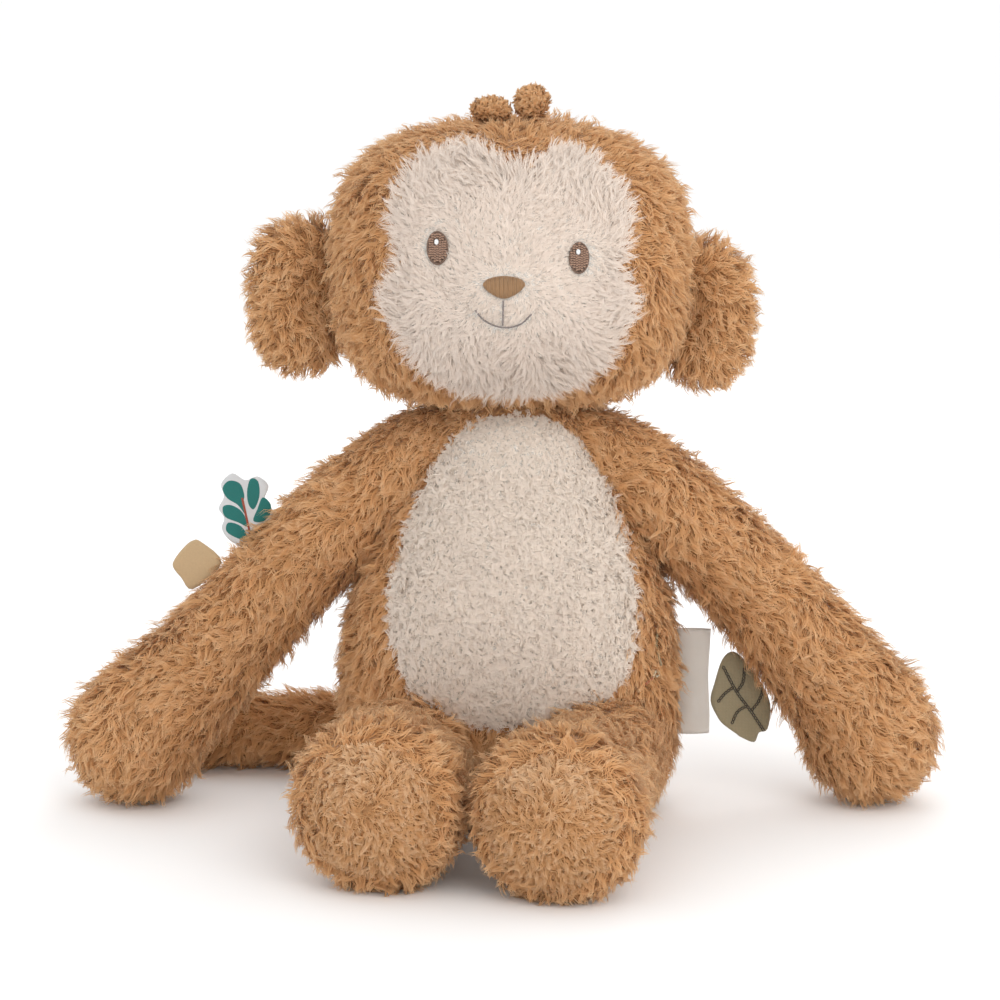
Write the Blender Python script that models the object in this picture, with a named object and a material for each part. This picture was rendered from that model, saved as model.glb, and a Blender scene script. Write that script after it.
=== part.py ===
"""Seated stuffed monkey: sewn cloth skins round soft fillings, long arms, short legs, a tail and sewn-in tags.

The toy faces -Y and sits on Z = 0.  Each skin is a hollow shell that is open where it is sewn on.
"""

import math

import bmesh
import bpy
from mathutils import Matrix, Vector

MM = 0.001

# Cloth and clearances, in millimetres.
CLOTH = 1.6          # thickness of the pile cloth's backing
GAP = 0.4            # free space between neighbouring pieces
SOCKET_GAP = 0.8     # free space round a limb's root ball
SPREAD_GAP = 1.0     # more free space where a leg swings out

# Body: a pear with a flat seat.  Height, then share of the widest half width and half depth.
BODY_HALF_WIDTH = 72.5
BODY_HALF_DEPTH = 56.5
BODY_PROFILE = [
    (0.0, 0.69, 0.71),
    (3.0, 0.83, 0.85),
    (11.0, 0.924, 0.93),
    (26.0, 0.98, 0.982),
    (46.0, 1.0, 1.0),
    (68.0, 0.993, 0.991),
    (90.0, 0.945, 0.938),
    (110.0, 0.855, 0.86),
    (128.0, 0.745, 0.78),
    (142.0, 0.648, 0.717),
    (152.0, 0.559, 0.655),
]
NECK_PIVOT = Vector((0.0, 0.0, 158.0))
NECK_RADIUS = 34.0
NECK_RINGS = 5
# Belly panel's edge: share of the body's half width, and height.
BELLY_OUTLINE = [
    (0.03, 172.0), (0.30, 166.0), (0.50, 148.0), (0.635, 120.0), (0.705, 92.0), (0.62, 64.0),
    (0.33, 50.5), (-0.015, 48.0), (-0.33, 51.0), (-0.595, 65.0), (-0.675, 92.0), (-0.595, 120.0),
    (-0.44, 148.0), (-0.25, 166.0),
]

# Head and face.  Everything on the face is drawn in x and z from the head's centre.
HEAD_RADII = Vector((75.0, 63.0, 60.0))
HEAD_FULLNESS = 2.7  # 2 is an ellipsoid, and more fills its corners out
HEAD_CENTRE = NECK_PIVOT + Vector((0.0, -2.0, 74.0))
FACE_OUTLINE = [
    (3.0, 47.0), (14.0, 52.0), (26.0, 52.0), (40.0, 44.0), (51.0, 25.0), (48.0, 2.5),
    (53.0, -13.0), (44.0, -31.0), (24.0, -43.0), (-2.0, -47.0), (-28.0, -41.5), (-47.0, -27.0),
    (-55.0, -11.0), (-49.0, 6.0), (-51.5, 26.0), (-41.0, 45.0), (-24.0, 53.5), (-8.0, 53.0),
]
EMBROIDERY = 0.9     # height of satin stitch above the pile cloth
EYE_RADII = (4.1, 6.4)
EYE_CENTRES = {"left": (-29.5, 12.5), "right": (28.0, 9.0)}
GLINT_RADII = (0.9, 1.1)
GLINT_LIFT = 2.6
NOSE_OUTLINE = [
    (-10.6, -1.4), (-8.0, 0.6), (-2.6, 1.0), (2.8, 0.4), (5.4, -1.8), (3.0, -5.0),
    (-0.4, -7.4), (-2.8, -8.0), (-5.2, -7.2), (-8.6, -4.6),
]
PHILTRUM_LINE = [(-2.9, -9.4), (-3.0, -13.0), (-3.1, -16.4)]
SMILE_LINE = [(-14.0, -12.4), (-9.8, -16.8), (-3.0, -19.2), (3.6, -18.0), (8.4, -13.6)]
THREAD_WIDTH = 1.2

# Hair loops: place along the head's top, then half sizes.
HAIR_LOOPS = {
    "hair_loop_low": (-7.5, Vector((7.4, 4.2, 3.9))),
    "hair_loop_tall": (8.8, Vector((6.2, 4.4, 6.6))),
}
HAIR_FORWARD = 2.0
HAIR_GAP = 0.7

# Ears: side, how far the middle stands out from the head's side, drop below the head's centre, half sizes.
EARS = {
    "left": (-1.0, 12.0, 14.0, Vector((21.0, 10.0, 31.5))),
    "right": (1.0, 6.0, 21.5, Vector((20.0, 10.0, 30.5))),
}
EAR_BACKWARD = 7.0
EAR_HINGE_INSET = 13.0
EAR_GROOVE_GAP = 4.2

# Limbs: (x, y, z, radius) along each centre line, starting at the joint.
FLOOR_GAP = 0.3
ARM_RADIUS = 23.0
WRIST_RADIUS = 26.0
HAND_RADIUS = 30.0
ARMS = {
    "left": [
        (-48.0, 2.0, 143.0, ARM_RADIUS), (-75.0, 3.0, 119.0, ARM_RADIUS), (-104.0, 4.0, 90.0, ARM_RADIUS),
        (-131.0, 5.0, 59.0, WRIST_RADIUS), (-151.0, 5.0, 36.0, 29.0),
        (-156.0, 5.0, HAND_RADIUS + FLOOR_GAP, HAND_RADIUS),
    ],
    "right": [
        (50.0, 2.0, 143.0, ARM_RADIUS), (76.0, 3.0, 121.0, ARM_RADIUS), (104.0, 4.0, 94.0, ARM_RADIUS),
        (129.0, 5.0, 64.0, WRIST_RADIUS), (147.0, 5.0, 38.0, 29.0),
        (150.5, 5.0, HAND_RADIUS + FLOOR_GAP, HAND_RADIUS),
    ],
}
LEG_RADIUS = 26.0
FOOT_RADIUS = 33.0
LEGS = {
    "left": [
        (-37.0, -36.0, 33.0, LEG_RADIUS), (-42.0, -66.0, 32.0, LEG_RADIUS), (-47.5, -96.0, 32.0, 30.0),
        (-51.0, -115.0, FOOT_RADIUS + FLOOR_GAP, FOOT_RADIUS),
    ],
    "right": [
        (38.0, -36.0, 33.0, LEG_RADIUS), (31.5, -70.0, 32.0, LEG_RADIUS), (22.0, -112.0, 32.0, 30.0),
        (18.0, -131.0, FOOT_RADIUS + FLOOR_GAP, FOOT_RADIUS),
    ],
}
LEG_SPREAD = {"left": 22.0, "right": 30.0}
SOLE_FLATNESS = 0.72
SOLE_RADIUS = 24.0
TAIL_RADIUS = 17.0
TAIL_PATH = [(-27.0, 38.0), (-52.0, 50.0), (-86.0, 60.0), (-120.0, 62.0), (-150.0, 58.0)]
TAIL_LIFT = [5.0, 2.0, 0.8, FLOOR_GAP, FLOOR_GAP]
TAIL_THINNING = [2.0, 0.0, 0.0, 0.5, 1.5]
TAIL = [
    (x, y, TAIL_RADIUS - thinning + lift, TAIL_RADIUS - thinning)
    for (x, y), lift, thinning in zip(TAIL_PATH, TAIL_LIFT, TAIL_THINNING)
]
TAIL_SWEEP = 25.0
SEAM_OPENING = 9.0   # radius of the hole left where a limb was filled

# Cloth tags sewn to an arm: arm, which span of it and how far along, upper (1) or lower (-1) edge,
# depth of the tag's middle, and its outline from that point on the arm's edge.
TAG_CLOTH = 1.2
TAGS = {
    "printed_leaf_tag": ("left", 1, 0.85, 1, 5.0, [
        (8.0, -1.0), (15.0, 7.5), (15.5, 16.5), (12.0, 22.5), (13.0, 28.5), (7.0, 31.5), (2.0, 30.0),
        (-3.0, 32.0), (-6.0, 26.5), (-4.5, 20.5), (-7.0, 15.0), (-4.0, 9.5), (-5.0, 4.3), (1.0, 1.0),
        (4.0, -4.0),
    ]),
    "ribbon_tab": ("left", 2, 0.25, 1, 5.0, [
        (6.5, 8.9), (-1.1, 15.5), (-4.3, 15.7), (-13.9, 6.8), (-14.1, 3.6), (-6.0, -5.4),
    ]),
    "sage_leaf_tag": ("right", 2, 0.72, -1, 8.0, [
        (7.0, -13.0), (4.0, -7.0), (-1.0, 0.5), (-7.0, 9.0), (-11.0, 6.0), (-13.5, -2.0), (-16.0, -9.0),
        (-14.5, -15.0), (-12.0, -21.0), (-7.5, -23.4), (-2.0, -26.0), (3.0, -23.0), (6.0, -18.0),
    ]),
}
LABEL_HEIGHT = 46.0
LABEL_REACH = 11.5
LABEL_BELOW_ARM = 3.7
LABEL_CLOTH = 1.6

# Small embroidered twig on the body's side: distance in from the body's widest point, and height.
TWIG_STEM = [(10.5, 81.5), (9.9, 74.5), (11.1, 66.6)]
TWIG_BRANCH = [(13.5, 62.2), (15.9, 61.2), (18.5, 60.8)]
TWIG_BERRY = (11.7, 64.0)
TWIG_BERRY_RADII = (1.9, 1.7)

BODY_SEGMENTS = 36
HEAD_SEGMENTS = 36
HEAD_RINGS = 18
LIMB_SEGMENTS = 18
EAR_RINGS = 10
SOLE_SEGMENTS = 26
CAP_RINGS = 3
ROOM_SEGMENTS = 28
ROOM_CAP_RINGS = 6

FAWN = (0.53, 0.33, 0.16, 1.0)
SOLE_FAWN = (0.58, 0.37, 0.18, 1.0)
CREAM = (0.82, 0.74, 0.65, 1.0)
FILLING = (0.92, 0.92, 0.90, 1.0)


def clear_scene():
    for obj in list(bpy.data.objects):
        bpy.data.objects.remove(obj, do_unlink=True)


def new_collection(name):
    collection = bpy.data.collections.new(name)
    bpy.context.scene.collection.children.link(collection)
    return collection


def material(name, colour, roughness):
    made = bpy.data.materials.new(name)
    made.use_nodes = True
    shader = made.node_tree.nodes["Principled BSDF"]
    shader.inputs["Base Color"].default_value = colour
    shader.inputs["Roughness"].default_value = roughness
    shader.inputs["Metallic"].default_value = 0.0
    return made


def object_from(name, shape, collection):
    """A mesh object from a bmesh drawn in millimetres."""
    bmesh.ops.recalc_face_normals(shape, faces=shape.faces)
    bmesh.ops.scale(shape, vec=(MM, MM, MM), verts=shape.verts)
    mesh = bpy.data.meshes.new(name)
    shape.to_mesh(mesh)
    shape.free()
    obj = bpy.data.objects.new(name, mesh)
    collection.objects.link(obj)
    return obj


def cutter(obj):
    """Marks a helper that only shapes other pieces."""
    obj.hide_render = True
    obj.display_type = "WIRE"
    return obj


def loft(stations, segments):
    """A closed tube through rings (centre, u, v); a ring with no size closes to a point."""
    shape = bmesh.new()
    rings = []
    for centre, u, v in stations:
        if u.length < 1e-6:
            rings.append([shape.verts.new(centre)])
            continue
        ring = []
        for k in range(segments):
            angle = 2 * math.pi * k / segments
            ring.append(shape.verts.new(centre + u * math.cos(angle) + v * math.sin(angle)))
        rings.append(ring)
    for lower, upper in zip(rings, rings[1:]):
        for k in range(segments):
            after = (k + 1) % segments
            if len(lower) == 1:
                shape.faces.new((lower[0], upper[after], upper[k]))
            elif len(upper) == 1:
                shape.faces.new((lower[k], lower[after], upper[0]))
            else:
                shape.faces.new((lower[k], lower[after], upper[after], upper[k]))
    for ring in (rings[0], rings[-1]):
        if len(ring) > 1:
            shape.faces.new(ring)
    return shape


def limb_stations(line, across, inset=0.0, end_flatness=1.0, cap_rings=CAP_RINGS):
    """Rings for a round limb with a ball at its root and a rounded tip."""
    points = [Vector(p[:3]) for p in line]
    radii = [p[3] - inset for p in line]
    stations = []

    def ring(centre, direction, radius):
        u = across - direction * across.dot(direction)
        u.normalize()
        stations.append((centre, u * radius, direction.cross(u) * radius))

    first = (points[1] - points[0]).normalized()
    for k in range(cap_rings):
        angle = math.radians(90 * (k / cap_rings - 1))
        ring(points[0] + first * (radii[0] * math.sin(angle)), first, radii[0] * math.cos(angle))
    for k, point in enumerate(points):
        before = points[max(k - 1, 0)]
        after = points[min(k + 1, len(points) - 1)]
        ring(point, (after - before).normalized(), radii[k])
    last = (points[-1] - points[-2]).normalized()
    reach = line[-1][3] * end_flatness - inset
    for k in range(1, cap_rings + 1):
        angle = math.radians(90 * k / cap_rings)
        size = 0.0 if k == cap_rings else radii[-1] * math.cos(angle)
        ring(points[-1] + last * (reach * math.sin(angle)), last, size)
    stations[0] = (stations[0][0], Vector(), Vector())
    return stations


def body_stations(inset=0.0):
    """Rings of the pear-shaped body, ending in the dome that the head sits on."""
    stations = []
    for height, width_share, depth_share in BODY_PROFILE:
        u = Vector((BODY_HALF_WIDTH * width_share - inset, 0.0, 0.0))
        v = Vector((0.0, BODY_HALF_DEPTH * depth_share - inset, 0.0))
        stations.append((Vector((0.0, 0.0, max(height, inset))), u, v))
    radius = NECK_RADIUS - inset
    for k in range(NECK_RINGS + 1):
        angle = math.radians(90 * k / NECK_RINGS)
        size = 0.0 if k == NECK_RINGS else radius * math.cos(angle)
        centre = NECK_PIVOT + Vector((0.0, 0.0, radius * math.sin(angle)))
        stations.append((centre, Vector((size, 0.0, 0.0)), Vector((0.0, size, 0.0))))
    return stations


def ball(centre, radii, segments, rings):
    shape = bmesh.new()
    bmesh.ops.create_uvsphere(shape, u_segments=segments, v_segments=rings, radius=1.0)
    bmesh.ops.scale(shape, vec=radii, verts=shape.verts)
    bmesh.ops.translate(shape, vec=centre, verts=shape.verts)
    return shape


def smooth_outline(points, steps=3):
    """A closed Catmull-Rom line through the points."""
    made = []
    count = len(points)
    for k in range(count):
        a, b, c, d = (Vector(points[(k + j) % count]) for j in (-1, 0, 1, 2))
        for step in range(steps):
            t = step / steps
            made.append(
                0.5 * (2 * b + (c - a) * t + (2 * a - 5 * b + 4 * c - d) * t**2 + (3 * b - a - 3 * c + d) * t**3)
            )
    return made


def grown(points, distance):
    """The outline moved outward by a distance."""
    area = sum(a.x * b.y - b.x * a.y for a, b in zip(points, points[1:] + points[:1]))
    turn = 1.0 if area > 0 else -1.0
    made = []
    for k, point in enumerate(points):
        along = (points[(k + 1) % len(points)] - points[k - 1]).normalized()
        made.append(point + Vector((along.y, -along.x)) * (turn * distance))
    return made


def stroke(points, width):
    """The outline of a line of thread through the points."""
    line = [Vector(p) for p in points]
    left, right = [], []
    for k, point in enumerate(line):
        along = (line[min(k + 1, len(line) - 1)] - line[max(k - 1, 0)]).normalized()
        side = Vector((-along.y, along.x)) * (width / 2)
        left.append(point + side)
        right.append(point - side)
    return left + right[::-1]


def ellipse(centre, radii, segments=18):
    turn = 2 * math.pi / segments
    return [
        Vector((centre[0] + radii[0] * math.cos(turn * k), centre[1] + radii[1] * math.sin(turn * k)))
        for k in range(segments)
    ]


def slab(outline, near, far):
    """The outline, drawn in x and z, extruded along y."""
    shape = bmesh.new()
    face = shape.faces.new([shape.verts.new((p[0], near, p[1])) for p in outline])
    made = bmesh.ops.extrude_face_region(shape, geom=[face])
    moved = [v for v in made["geom"] if isinstance(v, bmesh.types.BMVert)]
    bmesh.ops.translate(shape, vec=(0.0, far - near, 0.0), verts=moved)
    return shape


def rod(start, end, radius, segments=14):
    """A straight round bar between two points."""
    along = Vector(end) - Vector(start)
    shape = bmesh.new()
    bmesh.ops.create_cone(
        shape, cap_ends=True, segments=segments, radius1=radius, radius2=radius, depth=along.length
    )
    turn = along.to_track_quat("Z", "Y").to_matrix().to_4x4()
    bmesh.ops.transform(shape, matrix=Matrix.Translation((Vector(start) + Vector(end)) / 2) @ turn, verts=shape.verts)
    return shape


def cut(obj, tool, operation="DIFFERENCE"):
    made = obj.modifiers.new(f"{operation.lower()} {tool.name}", "BOOLEAN")
    made.operation = operation
    made.solver = "EXACT"
    made.object = tool
    return obj


def turned(shape, pivot, axis, degrees):
    turn = Matrix.Rotation(math.radians(degrees), 4, axis)
    place = Matrix.Translation(pivot)
    bmesh.ops.transform(shape, matrix=place @ turn @ place.inverted(), verts=shape.verts)
    return shape


clear_scene()
toy = new_collection("stuffed_monkey")
helpers = new_collection("cutters")
helpers.hide_render = True

fawn_pile = material("fawn_pile", FAWN, 0.95)
sole_pile = material("sole_pile", SOLE_FAWN, 0.95)
cream_pile = material("cream_pile", CREAM, 0.95)
filling = material("fibre_filling", FILLING, 1.0)
eye_thread = material("eye_thread", (0.13, 0.09, 0.07, 1.0), 0.6)
glint_thread = material("glint_thread", (0.9, 0.9, 0.88, 1.0), 0.6)
nose_thread = material("nose_thread", (0.38, 0.2, 0.08, 1.0), 0.6)
mouth_thread = material("mouth_thread", (0.22, 0.15, 0.12, 1.0), 0.6)
printed_cloth = material("printed_cloth", (0.75, 0.8, 0.79, 1.0), 0.8)
felt = material("beige_felt", (0.65, 0.45, 0.24, 1.0), 0.95)
sage_cloth = material("sage_cloth", (0.26, 0.22, 0.14, 1.0), 0.85)
woven_tape = material("woven_tape", (0.86, 0.84, 0.78, 1.0), 0.7)
sage_thread = material("sage_thread", (0.3, 0.31, 0.2, 1.0), 0.6)
pale_thread = material("pale_thread", (0.75, 0.8, 0.82, 1.0), 0.6)
rust_thread = material("rust_thread", (0.35, 0.14, 0.06, 1.0), 0.6)


def pivot_empty(name, place):
    empty = bpy.data.objects.new(name, None)
    empty.location = Vector(place) * MM
    toy.objects.link(empty)
    return empty


def piece(name, shape, look, pivot=None):
    """One physical piece of the toy, riding on the empty at its joint."""
    obj = object_from(name, shape, toy)
    obj.data.materials.append(look)
    if pivot is not None:
        obj.parent = pivot
        obj.matrix_parent_inverse = Matrix.Translation(-pivot.location)
    return obj


def helper(name, shape):
    return cutter(object_from(name, shape, helpers))


ACROSS_ARM = Vector((0.0, 1.0, 0.0))
UPWARD = Vector((0.0, 0.0, 1.0))


def filled_limb(name, line, across, pivot, flatness=1.0):
    """A limb's cloth skin, open at its root, and the filling inside it."""

    def rings(inset):
        return loft(limb_stations(line, across, inset, flatness), LIMB_SEGMENTS)

    skin = piece(f"{name}_skin", rings(0.0), fawn_pile, pivot)
    cut(skin, helper(f"{name}_hollow", rings(CLOTH)))
    root = Vector(line[0][:3])
    inward = (root - Vector(line[1][:3])).normalized()
    mouth = rod(root, root + inward * (line[0][3] + 5.0), SEAM_OPENING)
    cut(skin, helper(f"{name}_mouth", mouth))
    piece(f"{name}_filling", rings(CLOTH + GAP), filling, pivot)
    return skin


# Joint empties.
neck = pivot_empty("neck_joint", NECK_PIVOT)
shoulders = {side: pivot_empty(f"{side}_shoulder_joint", line[0][:3]) for side, line in ARMS.items()}
hips = {side: pivot_empty(f"{side}_hip_joint", line[0][:3]) for side, line in LEGS.items()}
tail_root = pivot_empty("tail_joint", TAIL[0][:3])

# Room that the moving limbs need in the body.


def limb_room(line, across, gap, flatness=1.0):
    return loft(limb_stations(line, across, -gap, flatness, ROOM_CAP_RINGS), ROOM_SEGMENTS)


def swung_room(line, gap, degrees, flatness=1.0):
    """Room for a limb at the end of its swing about the upright line through its joint."""
    return turned(limb_room(line, UPWARD, gap, flatness), Vector(line[0][:3]), "Z", degrees)


room = []
for side, line in ARMS.items():
    room.append(helper(f"{side}_arm_room", limb_room(line, ACROSS_ARM, SOCKET_GAP)))
for side, line in LEGS.items():
    room.append(helper(f"{side}_leg_room", limb_room(line, UPWARD, SOCKET_GAP, SOLE_FLATNESS)))
    spread = LEG_SPREAD[side] * (-1.0 if side == "left" else 1.0)
    shape = swung_room(line, SOCKET_GAP + SPREAD_GAP, spread, SOLE_FLATNESS)
    room.append(helper(f"{side}_leg_spread_room", shape))
room.append(helper("tail_room", limb_room(TAIL, UPWARD, SOCKET_GAP)))
room.append(helper("tail_sweep_room", swung_room(TAIL, SOCKET_GAP + SPREAD_GAP, -TAIL_SWEEP)))

# Body.
body_hollow = helper("body_hollow", loft(body_stations(CLOTH), BODY_SEGMENTS))
belly = smooth_outline([(BODY_HALF_WIDTH * share, height) for share, height in BELLY_OUTLINE])
belly_seam = helper("belly_seam", slab(grown(belly, GAP), -90.0, -8.0))
body_skin = cut(piece("body_skin", loft(body_stations(), BODY_SEGMENTS), fawn_pile), body_hollow)
belly_panel = cut(piece("belly_panel", slab(belly, -90.0, -8.0), cream_pile), helper(
    "body_outside", loft(body_stations(), BODY_SEGMENTS)), "INTERSECT")
cut(belly_panel, body_hollow)
body_filling = piece("body_filling", loft(body_stations(CLOTH + GAP), BODY_SEGMENTS), filling)
cut(body_skin, belly_seam)
for tool in room:
    cut(body_skin, tool)
    cut(body_filling, tool)
    if "tail" not in tool.name:
        cut(belly_panel, tool)


def from_head(point):
    """A point drawn from the head's centre, in x and z."""
    return Vector((HEAD_CENTRE.x + point[0], HEAD_CENTRE.z + point[1]))


def head_ball(inset=0.0):
    radii = HEAD_RADII - Vector((inset, inset, inset))
    shape = ball(HEAD_CENTRE, radii, HEAD_SEGMENTS, HEAD_RINGS)
    for vert in shape.verts:
        out = vert.co - HEAD_CENTRE
        shares = [abs(part / radius) for part, radius in zip(out, radii)]
        fullness = sum(share ** HEAD_FULLNESS for share in shares)
        vert.co = HEAD_CENTRE + out / fullness ** (1.0 / HEAD_FULLNESS)
    return shape


# Head.
head_hollow = helper("head_hollow", head_ball(CLOTH))
face = smooth_outline([from_head(point) for point in FACE_OUTLINE])
face_seam = helper("face_seam", slab(grown(face, GAP), -90.0, -12.0))
neck_room = helper("neck_room", ball(NECK_PIVOT, [NECK_RADIUS + SOCKET_GAP] * 3, HEAD_SEGMENTS, HEAD_RINGS))
head_skin = cut(piece("head_skin", head_ball(), fawn_pile, neck), head_hollow)
face_panel = cut(piece("face_panel", slab(face, -90.0, -12.0), cream_pile, neck), helper(
    "head_outside", head_ball()), "INTERSECT")
cut(face_panel, head_hollow)
head_filling = piece("head_filling", head_ball(CLOTH + GAP), filling, neck)
cut(head_skin, face_seam)
cut(head_skin, neck_room)
cut(head_filling, neck_room)

# Ears: a cushion each, in a shallow groove that lets it fold forward and back.
for side, (sign, stand_out, drop, radii) in EARS.items():
    centre = HEAD_CENTRE + Vector((sign * (HEAD_RADII.x + stand_out), EAR_BACKWARD, -drop))
    hinge = centre - Vector((sign * EAR_HINGE_INSET, 0.0, 0.0))
    fold = pivot_empty(f"{side}_ear_joint", hinge)
    fold.parent = neck
    fold.matrix_parent_inverse = Matrix.Translation(-neck.location)
    tip = UPWARD * (radii.z + EAR_GROOVE_GAP)
    groove = rod(hinge - tip, hinge + tip, radii.y + EAR_GROOVE_GAP, SOLE_SEGMENTS)
    groove = helper(f"{side}_ear_groove", groove)
    cut(head_skin, groove)
    cut(head_filling, groove)
    inner = Vector([r - CLOTH for r in radii])
    core = Vector([r - CLOTH - GAP for r in radii])
    skin = object_from(f"{side}_ear_skin", ball(centre, radii, LIMB_SEGMENTS, EAR_RINGS), toy)
    pad = object_from(f"{side}_ear_filling", ball(centre, core, LIMB_SEGMENTS, EAR_RINGS), toy)
    for obj, look in ((skin, fawn_pile), (pad, filling)):
        obj.data.materials.append(look)
        obj.parent = fold
        obj.matrix_parent_inverse = Matrix.Translation(-hinge * MM)
    cut(skin, helper(f"{side}_ear_hollow", ball(centre, inner, LIMB_SEGMENTS, EAR_RINGS)))
    mouth = rod(centre, centre - Vector((sign * (radii.x + 5.0), 0.0, 0.0)), 4.0)
    cut(skin, helper(f"{side}_ear_mouth", mouth))

# Embroidery on the face, lying on the face cloth.
stitch_top = helper("stitch_top", head_ball(-GAP - EMBROIDERY))
stitch_foot = helper("stitch_foot", head_ball(-GAP))


def stitched(name, outline, look):
    obj = cut(piece(name, slab(outline, -90.0, -20.0), look, neck), stitch_top, "INTERSECT")
    return cut(obj, stitch_foot)


def on_face(points):
    return [from_head(point) for point in points]


for side, centre in EYE_CENTRES.items():
    middle = from_head(centre)
    glint = middle + Vector((0.0, GLINT_LIFT))
    eye = stitched(f"{side}_eye", ellipse(middle, EYE_RADII), eye_thread)
    clear = [r + GAP for r in GLINT_RADII]
    cut(eye, helper(f"{side}_glint_room", slab(ellipse(glint, clear, 10), -90.0, -20.0)))
    stitched(f"{side}_eye_glint", ellipse(glint, GLINT_RADII, 10), glint_thread)
stitched("nose", smooth_outline(on_face(NOSE_OUTLINE), 2), nose_thread)
stitched("philtrum", stroke(on_face(PHILTRUM_LINE), THREAD_WIDTH), mouth_thread)
stitched("smile", stroke(on_face(SMILE_LINE), THREAD_WIDTH), mouth_thread)
for name, (across, radii) in HAIR_LOOPS.items():
    place = HEAD_CENTRE + Vector((across, -HAIR_FORWARD, HEAD_RADII.z + HAIR_GAP + radii.z))
    piece(name, ball(place, radii, 16, 10), fawn_pile, neck)

# Arms, legs and tail.
for side, line in ARMS.items():
    filled_limb(f"{side}_arm", line, ACROSS_ARM, shoulders[side])
for side, line in LEGS.items():
    skin = filled_limb(f"{side}_leg", line, UPWARD, hips[side], SOLE_FLATNESS)
    toe = Vector(line[-1][:3])
    ahead = (toe - Vector(line[-2][:3])).normalized()
    reach = line[-1][3] + 8.0
    sole = piece(f"{side}_sole", rod(toe, toe + ahead * reach, SOLE_RADIUS, SOLE_SEGMENTS), sole_pile, hips[side])
    outside = loft(limb_stations(line, UPWARD, 0.0, SOLE_FLATNESS), LIMB_SEGMENTS)
    cut(sole, helper(f"{side}_leg_outside", outside), "INTERSECT")
    cut(sole, bpy.data.objects[f"{side}_leg_hollow"])
    cut(skin, helper(f"{side}_sole_seam", rod(toe, toe + ahead * reach, SOLE_RADIUS + GAP, SOLE_SEGMENTS)))
filled_limb("tail", TAIL, UPWARD, tail_root)

# Tags sewn into the seams.
tag_looks = {"printed_leaf_tag": printed_cloth, "ribbon_tab": felt, "sage_leaf_tag": sage_cloth}
for name, (side, span, share, edge, depth, outline) in TAGS.items():
    before, after = ARMS[side][span], ARMS[side][span + 1]
    middle = Vector(before) + (Vector(after) - Vector(before)) * share
    along = Vector((after[0] - before[0], after[2] - before[2])).normalized()
    outward = Vector((-along.y, along.x))
    if outward.y * edge < 0:
        outward = -outward
    root = Vector((middle.x, middle.z)) + outward * middle.w
    points = [root + Vector(point) for point in outline]
    if name != "ribbon_tab":
        points = smooth_outline(points, 2)
    tag_shape = slab(points, depth - TAG_CLOTH / 2, depth + TAG_CLOTH / 2)
    tag = piece(name, tag_shape, tag_looks[name], shoulders[side])
    cut(tag, helper(f"{name}_seam", limb_room(ARMS[side], ACROSS_ARM, SOCKET_GAP)))


def lower_edge_height(line, x):
    """Height of a limb's lower edge, seen from in front, at a place across the toy."""
    edge = []
    for before, after in zip(line, line[1:]):
        along = Vector((after[0] - before[0], after[2] - before[2])).normalized()
        down = Vector((-along.y, along.x)) if along.x < 0 else Vector((along.y, -along.x))
        for point in (before, after):
            edge.append(Vector((point[0], point[2])) + down * point[3])
    for near, far in zip(edge, edge[1:]):
        if min(near.x, far.x) <= x <= max(near.x, far.x):
            return near.y + (far.y - near.y) * (x - near.x) / (far.x - near.x)
    raise ValueError(f"the limb has no edge at {x} mm")


label_inner = BODY_HALF_WIDTH + 2 * GAP
label_high = lower_edge_height(ARMS["right"], label_inner + LABEL_REACH) - LABEL_BELOW_ARM
label_low = label_high - LABEL_HEIGHT
label_outline = [
    Vector((label_inner, label_low)), Vector((label_inner + LABEL_REACH, label_low)),
    Vector((label_inner + LABEL_REACH, label_high)), Vector((label_inner, label_high)),
]
piece("woven_label", slab(label_outline, -LABEL_CLOTH / 2, LABEL_CLOTH / 2), woven_tape)

# Twig embroidered on the body's side.
twig_top = helper("twig_top", loft(body_stations(-GAP - EMBROIDERY), BODY_SEGMENTS))
twig_foot = helper("twig_foot", loft(body_stations(-GAP), BODY_SEGMENTS))


def from_side(point):
    """A point drawn in from the body's widest side, in x and z."""
    return Vector((BODY_HALF_WIDTH - point[0], point[1]))


for name, outline, look in (
    ("twig_stem", stroke([from_side(p) for p in TWIG_STEM], THREAD_WIDTH), sage_thread),
    ("twig_branch", stroke([from_side(p) for p in TWIG_BRANCH], THREAD_WIDTH), rust_thread),
    ("twig_berry", ellipse(from_side(TWIG_BERRY), TWIG_BERRY_RADII, 12), pale_thread),
):
    stitch = cut(piece(name, slab(outline, -90.0, -8.0), look), twig_top, "INTERSECT")
    cut(stitch, twig_foot)

bpy.context.view_layer.update()
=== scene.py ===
"""Plush monkey: pile, embroidery and sewn-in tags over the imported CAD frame, laid out as an add-on."""

import math

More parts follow.
